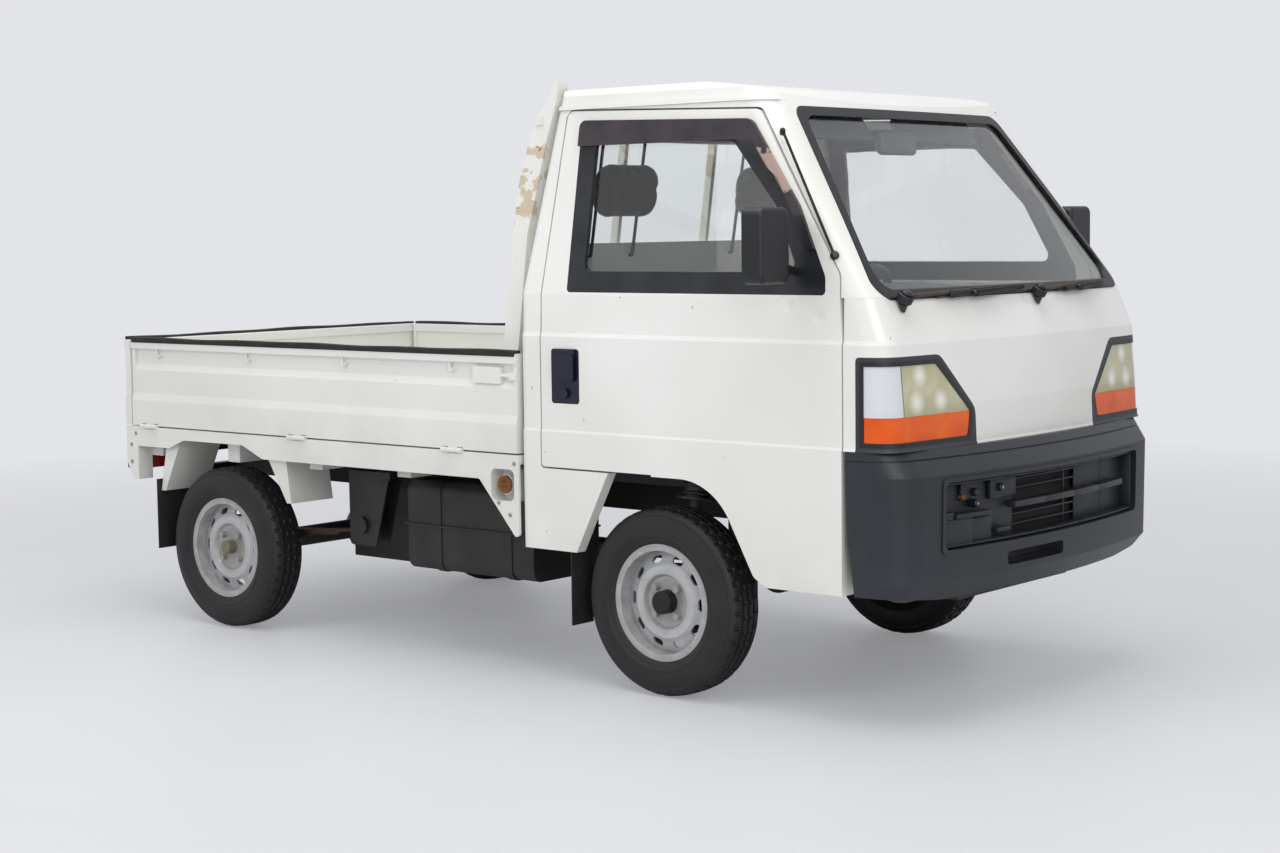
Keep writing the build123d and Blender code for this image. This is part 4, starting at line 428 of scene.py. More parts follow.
def bracket_paint():
    """Black chassis paint, and white enamel on the brackets that stand outside the rails."""
    material, add, shader, place = start_material("black_chassis_with_white_brackets", {"Roughness": 0.5})
    across = add("SeparateXYZ", place).node.outputs["Y"]
    outside = add("MapRange", add("Math", across, operation="ABSOLUTE"), 0.544, 0.546)
    film = patches(add, place, 120, 5.0, 0.35, 0.75, 0.0, 0.4)
    black = add("Mix", film, linear(chassis_black), linear(chassis_film), data_type="RGBA")
    white = add("Mix", film, linear("#dededa"), linear("#9c9484"), data_type="RGBA")
    colour = add("Mix", outside, black, white, data_type="RGBA")
    uneven = add("TexNoise", place, 1000 / 9.0, 3.0, 0.55)
    feed(add, shader, {"Base Color": colour}, uneven, 0.15)
    return material


seat_cloth = woven_cloth("charcoal_woven_seat_cloth", "#2b2826", "#45413d")
tyre_rubber = dull_coat("road_worn_tyre_rubber", "#0e0f10", "#222120", 0.5, 0.55)
strip_rubber = dull_coat("weathered_rubber_strip", "#121214", "#33322f", 0.55, 0.7, spot_mm=60)
chassis_paint = dull_coat("black_chassis_paint", chassis_black, chassis_film, 0.40, 0.55)
frame_paint = bracket_paint()
cast_iron = dull_coat("cast_iron_and_alloy", "#4d4e50", "#6b6556", 0.45, 0.55, 0.7, 0.4)
dark_steel = dull_coat("dark_rusty_steel", "#33291f", "#5d4230", 0.55, 0.6, 0.3, 0.3)
wiper_steel = dull_coat("weathered_wiper_steel", "#2b2420", "#6b523c", 0.75, 0.6, 0.2, 0.2, 35)
rusty_steel = dull_coat("brown_rusty_steel", "#6b4226", "#8f6138", 0.8, 0.85, 0.1, 0.5, 25)
zinc_bolt = dull_coat("zinc_plated_bolt", "#a9a79f", "#7a6a50", 0.6, 0.4, 0.8, 0.1, 20)
print("made cloth, rubber and metal")


# %% [markdown]
# The wheels are pressed steel sprayed silver. The front hub wears a black plastic cap
# and the rear one a dull grease cap, so a ring measured from the axle changes the
# colour, and rust-brown dust gathers round the nuts. The ring turns with its wheel,
# because it is read from the wheel's own coordinates.

# %% Wheel paint
def wheel_paint(name, node, cap_colour, cap_radius):
    """Silver paint, grimy near the nuts and the edge, with a cap of another colour."""
    low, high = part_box(node)
    material, add, shader, place = start_material(name, {"Metallic": 0.25})
    axes = add("SeparateXYZ", place).node.outputs
    squares = []
    for axis, number in (("X", 0), ("Z", 2)):
        offset = add("Math", axes[axis], (low[number] + high[number]) / 2, operation="SUBTRACT")
        squares.append(add("Math", offset, 2.0, operation="POWER"))
    radius = add("Math", add("Math", *squares, operation="ADD"), operation="SQRT")
    uneven = add("Math", add("TexNoise", place, 1000 / 30, 4.0, 0.55), 0.5, operation="SUBTRACT")
    wander = add("Math", uneven, 0.05, operation="MULTIPLY")
    ragged = add("Math", radius, wander, operation="ADD")
    near_nuts = add("MapRange", ragged, 0.055, 0.095, 0.55, 0.0)
    edge_dirt = add("MapRange", ragged, 0.138, 0.160, 0.0, 0.35)
    clouds = patches(add, place, 60, 3.0, 0.3, 0.7)
    silver = add("Mix", clouds, linear("#bfc0c2"), linear("#aeafb0"), data_type="RGBA")
    grime = add("Math", near_nuts, edge_dirt, operation="MAXIMUM")
    grimy = add("Mix", grime, silver, linear("#7d756a"), data_type="RGBA")
    on_cap = add("MapRange", radius, cap_radius - 0.001, cap_radius + 0.001, 1.0, 0.0)
    spray = add("TexNoise", place, 1000 / 14.0, 3.0, 0.55)
    feed(add, shader, {
        "Base Color": add("Mix", on_cap, grimy, linear(cap_colour), data_type="RGBA"),
        "Roughness": add("MapRange", on_cap, 0.0, 1.0, 0.36, 0.55),
    }, spray, 0.12, 0.5)
    return material


hub_caps = {"front": ("#17181a", 0.0345), "rear": ("#77755f", 0.023)}
for axle, (cap_colour, cap_radius) in hub_caps.items():
    for side in ("right", "left"):
        rim = f"rim_{axle}_{side}"
        finish_nodes(wheel_paint(f"silver_wheel_paint_{axle}_{side}", rim, cap_colour, cap_radius), rim)
print("painted four wheels")

# %% [markdown]
# The record names a material slot for every node. A table turns most slots into a
# finish, and the few nodes that look different from their slot come after it.

# %% Every other CAD node gets its finish
finish_of_slot = {
    "body_paint": body_enamel, "bed_paint": bed_enamel, "bumper_plastic": bumper_plastic,
    "black_trim": trim_plastic, "lens_clear": clear_lens, "lens_amber": amber_lens,
    "lens_red": red_lens, "window_glass": cab_glass, "interior_plastic": interior_plastic,
    "seat_fabric": seat_cloth, "tyre_rubber": tyre_rubber,
    "flap_rubber": strip_rubber, "chassis_black": chassis_paint, "cast_metal": cast_iron,
    "dark_steel": dark_steel,
}
for part in frame["record"]["subparts"]:
    if part["material_slot"] in finish_of_slot:
        finish_nodes(finish_of_slot[part["material_slot"]], part["node"])
finish_nodes(guard_enamel, "guard_frame")
finish_nodes(door_enamel, "door_right", "door_left")
finish_nodes(frame_paint, "chassis_frame")
finish_nodes(chassis_paint, "fuel_tank")
finish_nodes(wiper_steel, "wipers")
finish_nodes(visor_acrylic, "window_trim_right", "window_trim_left")
finish_nodes(handle_plastic, "door_handle_right", "door_handle_left")

# %% [markdown]
# Most small pieces on a truck are blocks with rounded edges, round bars with domed ends
# and turned shapes. Each starts from a primitive at its real size and place, is shaped
# in edit mode, and is settled: normals and smooth shading first, then its finish and the
# body that it rides on. Sizes are in millimetres, as in the CAD.

# %% Helpers for the pieces
def begin(primitive, **how):
    """Adds one primitive with nothing else selected and makes it the active piece."""
    bpy.ops.object.select_all(action="DESELECT")
    primitive(**how)
    bpy.ops.object.transform_apply(location=True, rotation=True, scale=True)
    return bpy.context.object


def select_only(piece):
    bpy.ops.object.select_all(action="DESELECT")
    piece.select_set(True)
    bpy.context.view_layer.objects.active = piece


def pick_faces(piece, wanted):
    """In edit mode, selects only the faces whose middle and normal are wanted."""
    bpy.ops.mesh.select_mode(type="FACE")
    bpy.ops.mesh.select_all(action="DESELECT")
    mesh = bmesh.from_edit_mesh(piece.data)
    for face in mesh.faces:
        face.select = bool(wanted(face.calc_center_median(), face.normal))
    mesh.select_flush(True)
    bmesh.update_edit_mesh(piece.data)


def start_block(low, high):
    """A block between two corners, left in edit mode, and its middle."""
    middle = Vector([(a + b) / 2000 for a, b in zip(low, high)])
    piece = begin(bpy.ops.mesh.primitive_cube_add, size=1.0, location=middle,
                  scale=[(b - a) / 1000 for a, b in zip(low, high)])
    bpy.ops.object.mode_set(mode="EDIT")
    return piece, middle


def end_block(piece, middle, turn):
    """Leaves edit mode, and turns the block about its middle where a turn is given."""
    bpy.ops.object.mode_set(mode="OBJECT")
    if turn:
        piece.data.transform(Matrix.Translation(middle) @ turn @ Matrix.Translation(-middle))


def rounded_block(low, high, rounding=2.0, segments=2, turn=None):
    """A block between two corners with rounded edges; turn is a rotation about its middle."""
    piece, middle = start_block(low, high)
    bpy.ops.mesh.select_all(action="SELECT")
    bpy.ops.mesh.bevel(offset=rounding / 1000, segments=segments, affect="EDGES")
    end_block(piece, middle, turn)
    return piece


def round_bar(start, end, radius, sides=16, dome=0.35):
    """A round bar from one point to another, its ends stepped in to a dome."""
    first, last = Vector(start) / 1000, Vector(end) / 1000
    along = last - first
    piece = begin(bpy.ops.mesh.primitive_cylinder_add, vertices=sides, radius=radius / 1000,
                  depth=along.length, location=(first + last) / 2,
                  rotation=along.to_track_quat("Z", "Y").to_euler())
    bpy.ops.object.mode_set(mode="EDIT")
    way = along.normalized()
    pick_faces(piece, lambda middle, normal: abs(normal.dot(way)) > 0.99)
    bpy.ops.mesh.inset(thickness=radius * dome / 1000, depth=radius * dome / 1000, use_individual=True)
    bpy.ops.object.mode_set(mode="OBJECT")
    return piece


def spin_closed(steps, axis):
    """Spins the outline in edit mode once round, closes the seam and turns the faces out."""
    bpy.ops.mesh.select_all(action="SELECT")
    bpy.ops.mesh.spin(steps=steps, angle=2 * pi, center=(0, 0, 0), axis=axis)
    bpy.ops.mesh.select_all(action="SELECT")
    bpy.ops.mesh.remove_doubles(threshold=0.00005)
    bpy.ops.mesh.normals_make_consistent(inside=False)


def turned(profile, centre, axis, steps):
    """A turned shape: an open profile of radius and height along the axis, spun round it."""
    piece = begin(bpy.ops.mesh.primitive_circle_add, vertices=max(len(profile), 3), radius=0.01)
    bpy.ops.object.mode_set(mode="EDIT")
    mesh = bmesh.from_edit_mesh(piece.data)
    mesh.verts.ensure_lookup_table()
    for edge in list(mesh.edges):
        if {edge.verts[0].index, edge.verts[1].index} == {0, len(mesh.verts) - 1}:
            mesh.edges.remove(edge)
    for vertex, (radius, height) in zip(mesh.verts, profile):
        vertex.co = (radius / 1000, 0, height / 1000)
    bmesh.update_edit_mesh(piece.data)
    spin_closed(steps, (0, 0, 1))
    bpy.ops.object.mode_set(mode="OBJECT")
    aim = Vector(axis).to_track_quat("Z", "Y").to_matrix().to_4x4()
    piece.data.transform(Matrix.Translation(Vector(centre) / 1000) @ aim)
    return piece


def joined(name, pieces):
    """Several blocks and bars as one piece."""
    select_only(pieces[0])
    for piece in pieces[1:]:
        piece.select_set(True)
    if len(pieces) > 1:
        bpy.ops.object.join()
    pieces[0].name = name
    return pieces[0]


def settle(piece, material, body, angle=40):
    """Smooth shading, finish and body: the last step of every piece."""
    select_only(piece)
    bpy.ops.object.shade_smooth_by_angle(angle=radians(angle))
    piece.data.materials.clear()
    piece.data.materials.append(material)
    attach(piece, body)
    print(piece.name, "rides on", body, "with", len(piece.data.polygons), "faces")


def box_mm(node):
    """A node's low and high corners in millimetres."""
    return [[v * 1000 for v in corner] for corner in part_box(node)]


sides = (("right", -1), ("left", 1))
print("sides", sides)

# %% [markdown]
# A tyre's tread is straight ribs parted by grooves, and the ribs are cut across by
# sipes. The wall bulges past the bead and carries thin raised rings. An array of tread
# blocks would leave seams, so one half of the section is a short table, mirrored to a
# closed outline and spun round the axle. Then rib faces are inset and sunk as sipes.

# %% Tyres
# Columns: radius from the axle, distance across from the tyre's middle
tyre_half_section = [
    (265.0, 3.0), (270.8, 4.5), (270.5, 21.0), (264.6, 22.5), (264.6, 27.0), (270.0, 28.5),
    (268.4, 44.0), (264.0, 53.0), (256.0, 60.5), (251.0, 63.0), (250.0, 65.2), (247.0, 65.6),
    (245.5, 65.2), (233.0, 69.8), (218.0, 72.3), (203.0, 71.6), (196.0, 70.2), (195.0, 71.2),
    (192.0, 70.8), (190.5, 69.0), (180.0, 64.5), (172.0, 59.0), (168.8, 55.5), (164.0, 48.5),
    (157.0, 46.0),
]
tyre_steps = 120
groove_radius = 262
outer_rib = (28, 55)
inner_rib = (6, 20)
sipe_margin = 0.0042
sipe_depth = 0.0045
section = [(r, -a) for r, a in tyre_half_section] + [(r, a) for r, a in reversed(tyre_half_section)]
tyre = begin(bpy.ops.mesh.primitive_circle_add, vertices=len(section), radius=0.2)
bpy.ops.object.mode_set(mode="EDIT")
mesh = bmesh.from_edit_mesh(tyre.data)
mesh.verts.ensure_lookup_table()
for vertex, (radius, out) in zip(mesh.verts, section):
    vertex.co = (0, out / 1000, radius / 1000)
bmesh.update_edit_mesh(tyre.data)
spin_closed(tyre_steps, (0, 1, 0))


def in_sipe(middle, normal):
    """Every third face of the outer ribs, and the next one on the inner ribs."""
    step = int((atan2(middle.x, middle.z) / (2 * pi) + 1) * tyre_steps) % 3
    out = abs(middle.y) * 1000
    radius = sqrt(middle.x ** 2 + middle.z ** 2) * 1000
    on_outer = outer_rib[0] < out < outer_rib[1] and step == 0
    on_inner = inner_rib[0] < out < inner_rib[1] and step == 1
    return radius > groove_radius and (on_outer or on_inner)


pick_faces(tyre, in_sipe)
bpy.ops.mesh.inset(thickness=sipe_margin, depth=-sipe_depth, use_individual=False)
bpy.ops.object.mode_set(mode="OBJECT")
for axle in ("front", "rear"):
    for side, sign in sides:
        low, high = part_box(f"tyre_{axle}_{side}")
        piece = tyre.copy()
        piece.data = tyre.data.copy()
        piece.name = f"treaded_tyre_{axle}_{side}"
        bpy.context.scene.collection.objects.link(piece)
        piece.data.transform(Matrix.Translation([(a + b) / 2 for a, b in zip(low, high)]))
        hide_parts(f"tyre_{axle}_{side}")
        settle(piece, tyre_rubber, f"wheel_{axle}_{side}", 32)
bpy.data.objects.remove(tyre)

# %% [markdown]
# The seats and headrests are foam in woven cloth. A slack block of each is turned to
# an even net of small squares, blown up a little by the cloth solver and held to a few
# millimetres of travel, so that the faces crown and the sides pull in between corners.
# Sewn channels are pressed in afterwards, because the net is coarser than a seam.

# %% Padding
def blow_up(piece, voxel_mm, travel_mm, pressure=4.0):
    """Even net, a short cloth run with inner pressure, travel held to a limit, one subdivision."""
    select_only(piece)
    piece.data.remesh_voxel_size = voxel_mm / 1000
    bpy.ops.object.voxel_remesh()
    rest = [v.co.copy() for v in piece.data.vertices]
    cloth = piece.modifiers.new("Cloth", "CLOTH")
    cloth.settings.use_pressure = True
    cloth.settings.uniform_pressure_force = pressure
    cloth.settings.effector_weights.gravity = 0.0
    for frame_number in range(1, 21):
        bpy.context.scene.frame_set(frame_number)
    blown = piece.evaluated_get(bpy.context.evaluated_depsgraph_get()).data
    moves = [b.co - a for a, b in zip(rest, blown.vertices)]
    piece.modifiers.remove(cloth)
    bpy.context.scene.frame_set(1)
    for vertex, start, move in zip(piece.data.vertices, rest, moves):
        reach = min(move.length, travel_mm / 1000)
        vertex.co = start + move.normalized() * reach
    smooth = piece.modifiers.new("Subdivision", "SUBSURF")
    smooth.levels = smooth.render_levels = 1
    bpy.ops.object.modifier_apply(modifier=smooth.name)


def press_channels(piece, axis, places_mm, depth_mm, normal_axis, half_width=0.009):
    """Sewn channels: points near each line sink along the surface's own direction."""
    normals = [v.normal.copy() for v in piece.data.vertices]
    for vertex, normal in zip(piece.data.vertices, normals):
        for place in places_mm:
            off = (vertex.co[axis] - place / 1000) / half_width
            if abs(off) < 1 and abs(normal[normal_axis]) > 0.5:
                vertex.co -= normal * depth_mm / 1000 * (1 - off * off) ** 2


def cushion(low, high, corner, voxel_mm, travel_mm, turn=None, outline_corner=0):
    """A slack bevelled block, cut into squares and blown up; its outline seen along X may be rounder."""
    piece, middle = start_block(low, high)
    if outline_corner:
        bpy.ops.mesh.select_mode(type="EDGE")
        bpy.ops.mesh.select_all(action="DESELECT")
        mesh = bmesh.from_edit_mesh(piece.data)
        for edge in mesh.edges:
            run = (edge.verts[0].co - edge.verts[1].co).normalized()
            edge.select = abs(run.x) > 0.9
        bmesh.update_edit_mesh(piece.data)
        bpy.ops.mesh.bevel(offset=outline_corner / 1000, segments=8, affect="EDGES")
    pick_faces(piece, lambda at, normal: abs(normal.x) > 0.9)
    bpy.ops.mesh.bevel(offset=corner / 1000, segments=5, affect="EDGES")
    if not outline_corner:
        bpy.ops.mesh.select_all(action="SELECT")
        bpy.ops.mesh.bevel(offset=corner / 2000, segments=2, affect="EDGES")
    end_block(piece, middle, turn)
    blow_up(piece, voxel_mm, travel_mm)
    return piece


seat_top_z = 1175.0
seat_pad = 9.0
channel_inset = 110.0
channel_depth = 7.0
for side, sign in sides:
    low, high = box_mm(f"seat_{side}")
    channels = (low[1] + channel_inset, high[1] - channel_inset)
    right, left = low[1] + seat_pad, high[1] - seat_pad
    base = cushion((low[0] + 75, right, low[2] + 8), (high[0] - seat_pad, left, low[2] + 128), 26, 11, 9)
    press_channels(base, 1, channels, channel_depth, 2)
    lean = Matrix.Rotation(radians(-9), 4, "Y")
    back = cushion((low[0] + 62, right, low[2] + 90), (low[0] + 142, left, seat_top_z), 24, 11, 9, lean)
    press_channels(back, 1, channels, channel_depth, 0)
    seat = joined(f"padded_seat_{side}", [base, back])
    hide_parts(f"seat_{side}")
    settle(seat, seat_cloth, "truck", 60)
    low, high = box_mm(f"headrest_{side}")
    tilt = Matrix.Rotation(radians(10), 4, "Y")
    rest_piece = cushion((low[0] + 22, low[1] + 8, low[2] + 6), (high[0] - 12, high[1] - 8, high[2] - 6),
                         27, 6, 7, tilt, 62)
    rest_piece.name = f"padded_headrest_{side}"
    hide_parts(f"headrest_{side}")
    settle(rest_piece, seat_cloth, "truck", 60)

# %% [markdown]
# A black rubber strip is pushed over the bed's top rails, so that cargo and ropes don't
# chip them. It is a low arch in section, a little wavy with age.

# %% Rubber strips on the rails
strip_height = 9.0
strip_lap = 9.0
strip_wave = 1.2
strip_cuts = 24
side_strip_inner = 668.5
side_strip_outer = 701.5


def rail_strip(name, body, low, high, run):
    """One strip along axis run, arched by its bevel and bent slightly up and down."""
    piece = rounded_block(low, high, 3.6, 3)
    bpy.ops.object.mode_set(mode="EDIT")
    length = (high[run] - low[run]) / 1000
    normal = [float(axis == run) for axis in range(3)]
    for cut in range(1, strip_cuts):
        where = [part * (low[run] / 1000 + length * cut / strip_cuts) for part in normal]
        bpy.ops.mesh.select_all(action="SELECT")
        bpy.ops.mesh.bisect(plane_co=where, plane_no=normal)
    bpy.ops.object.mode_set(mode="OBJECT")
    for vertex in piece.data.vertices:
        along = vertex.co[run] * 1000
        if vertex.co.z * 1000 > high[2] - strip_height / 2:
            vertex.co.z += strip_wave / 1000 * (sin(along / 61) + sin(along / 143 + 1))
    piece.name = name
    settle(piece, strip_rubber, body)


for side, sign in sides:
    low, high = box_mm(f"side_gate_{side}")
    inner, outer = sorted((sign * side_strip_inner, sign * side_strip_outer))
    rail_strip(f"side_rail_strip_{side}", f"side_gate_{side}",
               (low[0] + 6, inner, high[2] - strip_lap), (high[0] - 4, outer, high[2] + strip_height), 0)
low, high = box_mm("tailgate")
rail_strip("tailgate_strip", "tailgate", (low[0] + 1, low[1] + 12, high[2] - strip_lap),
           (high[0] - 9, high[1] - 12, high[2] + strip_height), 1)
low, high = box_mm("front_wall")
rail_strip("front_wall_strip", "truck", (low[0] + 2, low[1] + 26, high[2] - 1.5),
           (low[0] + 34, high[1] - 26, high[2] + strip_height), 1)

# %% [markdown]
# The bumper's mouth has lost its number plate, and shows what the plate covered: a
# plastic bracket with two fixing tabs at the right, an opening to the radiator in the
# middle with a few thin slats and one upright, and a moulded panel at the left. One
# shelf-like bar crosses the open part. These take the place of the plain grille.

# %% Bumper mouth
grille_low, grille_high = box_mm("grille")
mouth_low, mouth_high = grille_low[2] + 3, grille_high[2] - 3
mouth_right, mouth_left = grille_low[1] + 3, grille_high[1] - 3
opening_right, opening_left = -175.0, 165.0
bow_radius = 3200.0
bumper_face = 1643.5
bar_low, bar_high = 560.0, 578.0
panel_depth = 52.0


def face_at(y):
    """Where the bumper's bowed face lies at a distance from the middle."""
    return bumper_face - bow_radius + sqrt(bow_radius ** 2 - y ** 2)


def bowed_block(y0, y1, z0, z1, depth, thickness, rounding=3.0):
    """A block that follows the bumper's bow, its front that deep behind the face."""
    middle = (y0 + y1) / 2
    slope = atan2(face_at(y1) - face_at(y0), y1 - y0)
    front = face_at(middle) - depth
    return rounded_block((front - thickness, y0, z0), (front, y1, z1), rounding, 2,
                         Matrix.Rotation(-slope, 4, "Z"))


shade = bowed_block(opening_right - 10, opening_left + 10, mouth_low, mouth_high, panel_depth + 12, 4)
shade.name = "radiator_shade"
settle(shade, void_black, "truck")
panels = ((mouth_right, -350.0), (-350.0, opening_right), (opening_left, 345.0), (345.0, mouth_left))
cheeks = ((mouth_right + 2, mouth_right + 10), (mouth_left - 10, mouth_left - 2))
frame_pieces = [bowed_block(*ends, mouth_low, mouth_high, panel_depth - 6, 5) for ends in panels]
frame_pieces += [bowed_block(*ends, mouth_low, mouth_high, 12, 44) for ends in cheeks]
lip_blocks = 8
for count in range(lip_blocks):
    y0 = mouth_right + (mouth_left - mouth_right) * count / lip_blocks
    y1 = mouth_right + (mouth_left - mouth_right) * (count + 1) / lip_blocks
    frame_pieces.append(bowed_block(y0 - 1, y1 + 1, mouth_low, mouth_low + 7, 12, 46))
    frame_pieces.append(bowed_block(y0 - 1, y1 + 1, mouth_high - 7, mouth_high, 12, 46))
mouth_frame = joined("bumper_mouth_frame", frame_pieces)
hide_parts("grille")
settle(mouth_frame, recess_plastic, "truck")

print("mouth from", mouth_right, "to", mouth_left)

# %% [markdown]
# The pieces in the mouth are thin mouldings at different depths. Each is a short block
# turned to the bumper's bow where it stands, which keeps every edge crisp.

# %% Slats, bar and plate bracket in the mouth
def stud(y, z, back, front, radius, sides, dome):
    """A round bar between two depths behind the bumper's face."""
    return round_bar((face_at(y) - back, y, z), (face_at(y) - front, y, z), radius, sides, dome)


slats = [bowed_block(opening_right, opening_left, z, z + 5, panel_depth - 2, 6, 1.5)
         for z in (505.0, 533.0, 604.0, 630.0)]
upright = (opening_left - 62, opening_left - 55)
slats.append(bowed_block(*upright, mouth_low, mouth_high, panel_depth - 4, 6, 1.5))
settle(joined("radiator_slats", slats), trim_plastic, "truck")
bar_ends = (-215.0, -60.0, 100.0, 260.0, 432.0)
bar = [bowed_block(y0 - 1, y1 + 1, bar_low, bar_high, 8, 34, 4)
       for y0, y1 in zip(bar_ends, bar_ends[1:])]
settle(joined("mouth_bar", bar), bumper_plastic, "truck")
bracket = [
    bowed_block(-505.0, -392.0, 478.0, 552.0, 16, 34, 4),
    bowed_block(-470.0, -318.0, 552.0, 566.0, 8, 38, 4),
    bowed_block(-388.0, -300.0, 482.0, 548.0, 24, 26, 4),
    bowed_block(-288.0, -230.0, 500.0, 512.0, 14, 34, 3),
    bowed_block(-300.0, -180.0, 590.0, 646.0, 30, 14, 3),
    bowed_block(-512.0, -470.0, 552.0, 572.0, 14, 30, 4),
    bowed_block(-420.0, -352.0, 596.0, 646.0, 34, 10, 3),
]
bolted = ((-372.0, 586.0), (-262.0, 620.0))
bracket += [stud(y, z, 44, 20, 9.0, 20, 0.25) for y, z in ((-372.0, 616.0), *bolted)]
settle(joined("plate_bracket", bracket), recess_plastic, "truck")
bolt_heads = [stud(y, z, 22, 15, 4.2, 6, 0.2) for y, z in bolted]
settle(joined("plate_bolts", bolt_heads), zinc_bolt, "truck")
rust_nut = stud(-412, 606, 46, 30, 8.0, 6, 0.2)
rust_nut.name = "rusty_plate_nut"
settle(rust_nut, rusty_steel, "truck")

# %% [markdown]
# The wiper arms are bare brown steel in the frame. Each carries a black blade, stepped
# from a thin rubber lip to the sprung bow over it, and its pivot wears a rounded cap.

# %% Wiper blades and pivot caps
wiper_front = box_mm("wipers")[1][0]
# The windscreen goes back 387 mm over a height of 530 mm, and bows on a 6500 mm radius.
screen_pitch = 387 / 530
screen_foot_x, screen_foot_z, screen_bow = 1507.5, 1142, 6500
blade_low_z, blade_rise = 1140, 14
# Columns: start and end as shares of the blade, lift off the glass, radius
blade_bars = ((0.0, 1.0, 12, 4), (0.12, 0.88, 20, 6), (0.35, 0.65, 27, 8))
blade_parts = []
# Columns: pivot across, blade start across, blade end across
for pivot_y, start_y, end_y in ((-573.0, -420.0, 24.0), (79.0, 205.0, 519.0)):
    pivot = Vector((wiper_front - (19 if pivot_y > 0 else 42), pivot_y, 1144))
    blade_parts.append(round_bar(pivot + Vector((-8, 0, -18)), pivot + Vector((8, 0, 8)), 15, 20, 0.45))
    for start_share, end_share, lift, thick in blade_bars:
        ends = []
        for share in (start_share, end_share):
            y = start_y + (end_y - start_y) * share
            z = blade_low_z + blade_rise * share
            glass_x = screen_foot_x - screen_bow + sqrt(screen_bow ** 2 - y ** 2)
            ends.append(Vector((glass_x - (z - screen_foot_z) * screen_pitch + lift, y, z)))
        blade_parts.append(round_bar(ends[0], ends[1], thick, 10, 0.5))
settle(joined("wiper_blades", blade_parts), trim_plastic, "truck")

# %% [markdown]
# Inside the glass are a small mirror on a stalk and two padded sun visors folded up to
# the roof, all of them grey. They follow the slope of the windscreen behind it.

# %% Interior mirror and sun visors
screen_lean = atan(screen_pitch)
mirror_tilt = Matrix.Rotation(radians(-8), 4, "Y")
mirror_body = rounded_block((1086, -92, 1528), (1116, 88, 1598), 14, 4, mirror_tilt)
stalk = round_bar((1098, 0, 1590), (1086, 0, 1630), 6, 12)
settle(joined("interior_mirror", [mirror_body, stalk]), interior_plastic, "truck")
mirror_face = rounded_block((1083, -84, 1536), (1086.5, 80, 1590), 1.5, 2, mirror_tilt)
mirror_face.name = "interior_mirror_glass"
settle(mirror_face, mirror_glass, "truck")
for side, sign in sides:
    y0, y1 = sorted((sign * 88.0, sign * 478.0))
    visor = rounded_block((1040, y0, 1560), (1058, y1, 1668), 8, 3, Matrix.Rotation(-screen_lean, 4, "Y"))
    visor.name = f"sun_visor_{side}"
    settle(visor, interior_plastic, "truck")

# %% [markdown]
# Each outer mirror has its glass at the back of the shell, and the aerial is a thin rod
# that lies along the windscreen's pillar between two rubber-footed holders.

# %% Mirror glass and aerial
for side, sign in sides:
    low, high = box_mm(f"mirror_{side}")
    y0, y1 = sorted((sign * 752.0, sign * 862.0))
    glass = rounded_block((low[0] - 1.2, y0, low[2] + 12), (low[0] + 3, y1, high[2] - 12), 1.8, 2)
    glass.name = f"mirror_glass_{side}"
    settle(glass, mirror_glass, f"door_{side}")
aerial_low, aerial_high = Vector((1352, -668, 1248)), Vector((1163, -637, 1583))
mast = round_bar(aerial_low, aerial_high, 3.0, 10)
holders = [round_bar(aerial_low + Vector((-14, 14, 0)), aerial_low + Vector((4, -6, 6)), 9, 16),
           round_bar(aerial_high + Vector((-12, 14, -6)), aerial_high + Vector((3, -5, 3)), 6, 12)]
settle(joined("pillar_aerial", [mast, *holders]), trim_plastic, "truck")

# %% [markdown]
# Last come the fixings: bolt heads on the bed's side posts, the filler neck's rusty cap
# with its grip, and the rubber stops on the rear posts.

# %% Bolts, filler cap and stops
# Columns: along the truck, height
bolt_places = ((150, 520), (196, 486), (-1610, 540), (-1610, 600), (-1585, 640), (215, 640))
post_face, bolt_face = 694, 699.2
bolts = [round_bar((x, sign * post_face, z), (x, sign * bolt_face, z), 6.5, 6, 0.2)
         for _, sign in sides for x, z in bolt_places]
settle(joined("side_post_bolts", bolts), zinc_bolt, "truck")
cap = turned([(0.0, 6.0), (12.0, 6.0), (14.0, 9.0), (24.0, 9.0), (27.0, 6.0), (27.0, -10.0)],
             (166, -684, 574), (0, -1, 0), 28)
grip = rounded_block((144, -696, 570), (188, -690, 578), 2.5, 2)
settle(joined("filler_cap", [cap, grip]), rusty_steel, "truck")
for side, sign in sides:
    y0, y1 = sorted((sign * 655.0, sign * 692.0))
    stop = rounded_block((-1646, y0, 515), (-1622, y1, 560), 5, 3)
    stop.name = f"rear_post_stop_{side}"
    settle(stop, strip_rubber, "truck")

# %% [markdown]
# The camera stands where the photograph was taken. Its place, turn and lens were worked
# out from the truck's known sizes, and are written here as numbers.

# %% Camera
camera_data = bpy.data.cameras.new("camera")
camera = bpy.data.objects.new("camera", camera_data)
bpy.context.scene.collection.objects.link(camera)
bpy.context.scene.camera = camera
camera_place = (4.70916736, -5.46674292, 1.33704817)
camera_yaw = 2.26945934
camera_pitch = -0.0901626
camera_roll = -0.01272472
focal_pixels, photo_width = 2224.467, 1280
flat = cos(camera_pitch)
ahead = Vector((flat * cos(camera_yaw), flat * sin(camera_yaw), sin(camera_pitch)))
level = ahead.cross(Vector((0, 0, 1))).normalized()
above = level.cross(ahead)
across = cos(camera_roll) * level + sin(camera_roll) * above
upward = -sin(camera_roll) * level + cos(camera_roll) * above
turn = Matrix((across, upward, -ahead)).transposed().to_4x4()
camera.matrix_world = Matrix.Translation(camera_place) @ turn
camera_data.sensor_width = 36.0
camera_data.lens = focal_pixels / photo_width * camera_data.sensor_width
camera_data.clip_end = 200.0
print("camera lens", round(camera_data.lens, 3), "mm")

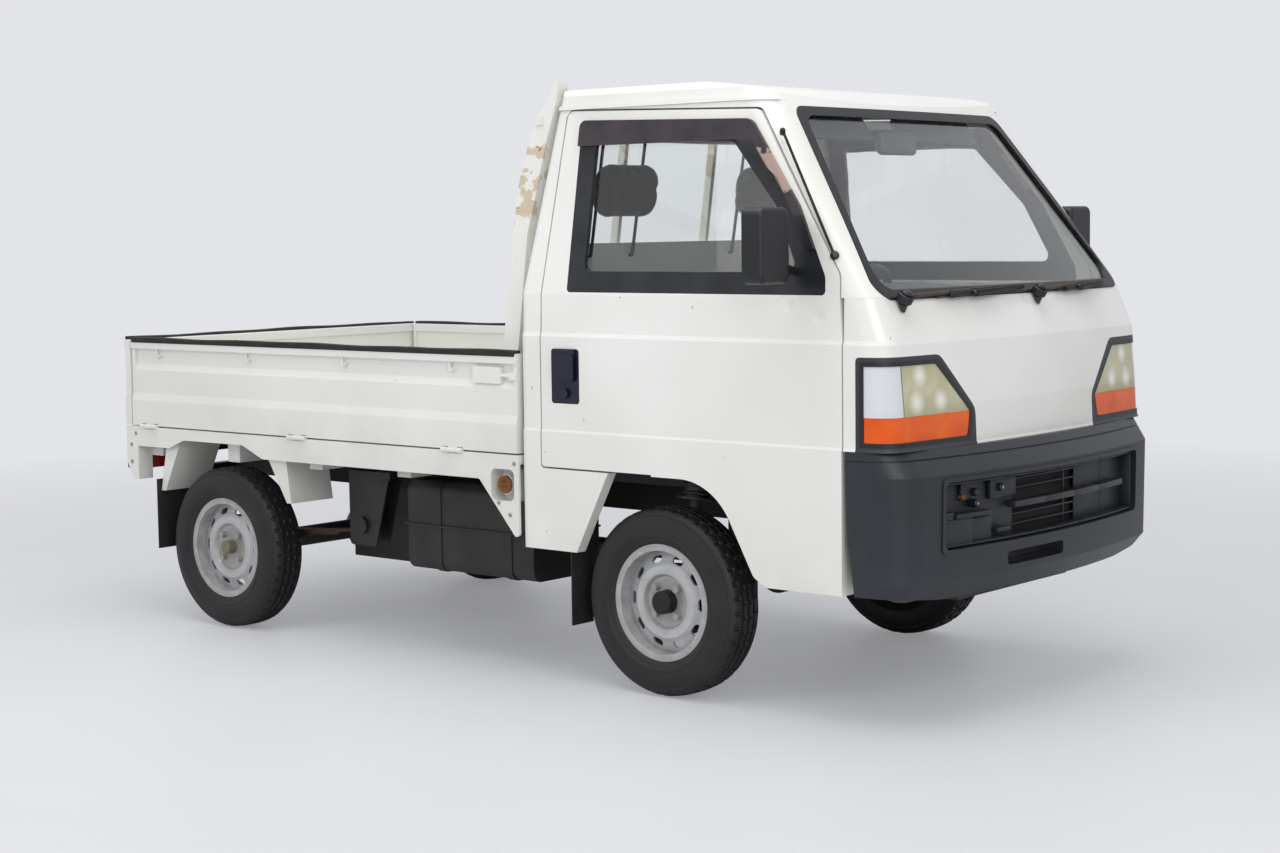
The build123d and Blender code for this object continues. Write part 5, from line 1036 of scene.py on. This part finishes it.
# %% [markdown]
# The floor and the world behind it are pale and plain. Seen by the camera both show the
# same near white, and close to the truck the floor's own shading comes back, so that it
# keeps the truck's shadow. Glass and gloss see the pale world too.

# %% Floor and world
backdrop = linear("#e3e4e8")
material, add, shader, place = start_material("pale_studio_floor", {"Roughness": 0.5})
worn = add("TexNoise", place, 1000 / 900, 3.0, 0.55)
tone = add("Mix", worn, linear("#dcdddf"), linear("#d2d3d6"), data_type="RGBA")
feed(add, shader, {"Base Color": tone})
glow = add("Emission", backdrop, 1.0)
distance = add("VectorMath", place, operation="LENGTH")
far = add("MapRange", distance, 2.2, 7.0, 0.30, 1.0)
seen = add("LightPath").node.outputs["Is Camera Ray"]
share = add("Math", far, seen, operation="MULTIPLY")
mix = add("MixShader", share, shader.outputs["BSDF"], glow)
output = next(node for node in material.node_tree.nodes if node.type == "OUTPUT_MATERIAL")
material.node_tree.links.new(mix, output.inputs["Surface"])
bpy.ops.object.select_all(action="DESELECT")
bpy.ops.mesh.primitive_plane_add(size=120.0, location=(0, 0, 0))
floor = bpy.context.object
floor.name = "studio_floor"
floor.data.materials.append(material)

world = bpy.data.worlds.new("studio")
bpy.context.scene.world = world
world.use_nodes = True
tree = world.node_tree
tree.nodes.clear()
add = partial(add_node, tree)
lit = add("Background", linear("#e9ebee"), 0.58)
pale = add("Background", backdrop, 1.0)
rays = add("LightPath").node.outputs
direct = add("Math", rays["Is Camera Ray"], rays["Is Transmission Ray"], operation="MAXIMUM")
direct = add("Math", direct, rays["Is Glossy Ray"], operation="MAXIMUM")
add("OutputWorld", add("MixShader", direct, lit, pale))


# %% [markdown]
# Three large softboxes light the truck evenly. The one at the right would lie as a veil
# on the door's glass, so it is left out of reflections.

# %% Lamps
def soft_lamp(name, place, aim, size, power, mirrored=True):
    """A square softbox that faces the aim, and shows in gloss and glass if mirrored."""
    data = bpy.data.lights.new(name, "AREA")
    data.shape = "SQUARE"
    data.size = size
    data.energy = power
    lamp = bpy.data.objects.new(name, data)
    lamp.location = place
    lamp.visible_glossy = mirrored
    lamp.rotation_euler = (Vector(aim) - Vector(place)).to_track_quat("-Z", "Y").to_euler()
    bpy.context.scene.collection.objects.link(lamp)


soft_lamp("overhead", (0.5, -1.0, 5.5), (0, 0, 0.6), 5.0, 170)
soft_lamp("front_side", (5.5, -3.5, 3.2), (0.8, 0, 0.8), 3.0, 100)
soft_lamp("right_side", (-1.5, -6.0, 3.0), (-0.5, 0, 0.7), 3.5, 80, mirrored=False)
bpy.context.scene.view_settings.view_transform = "Standard"
print("set three lamps")
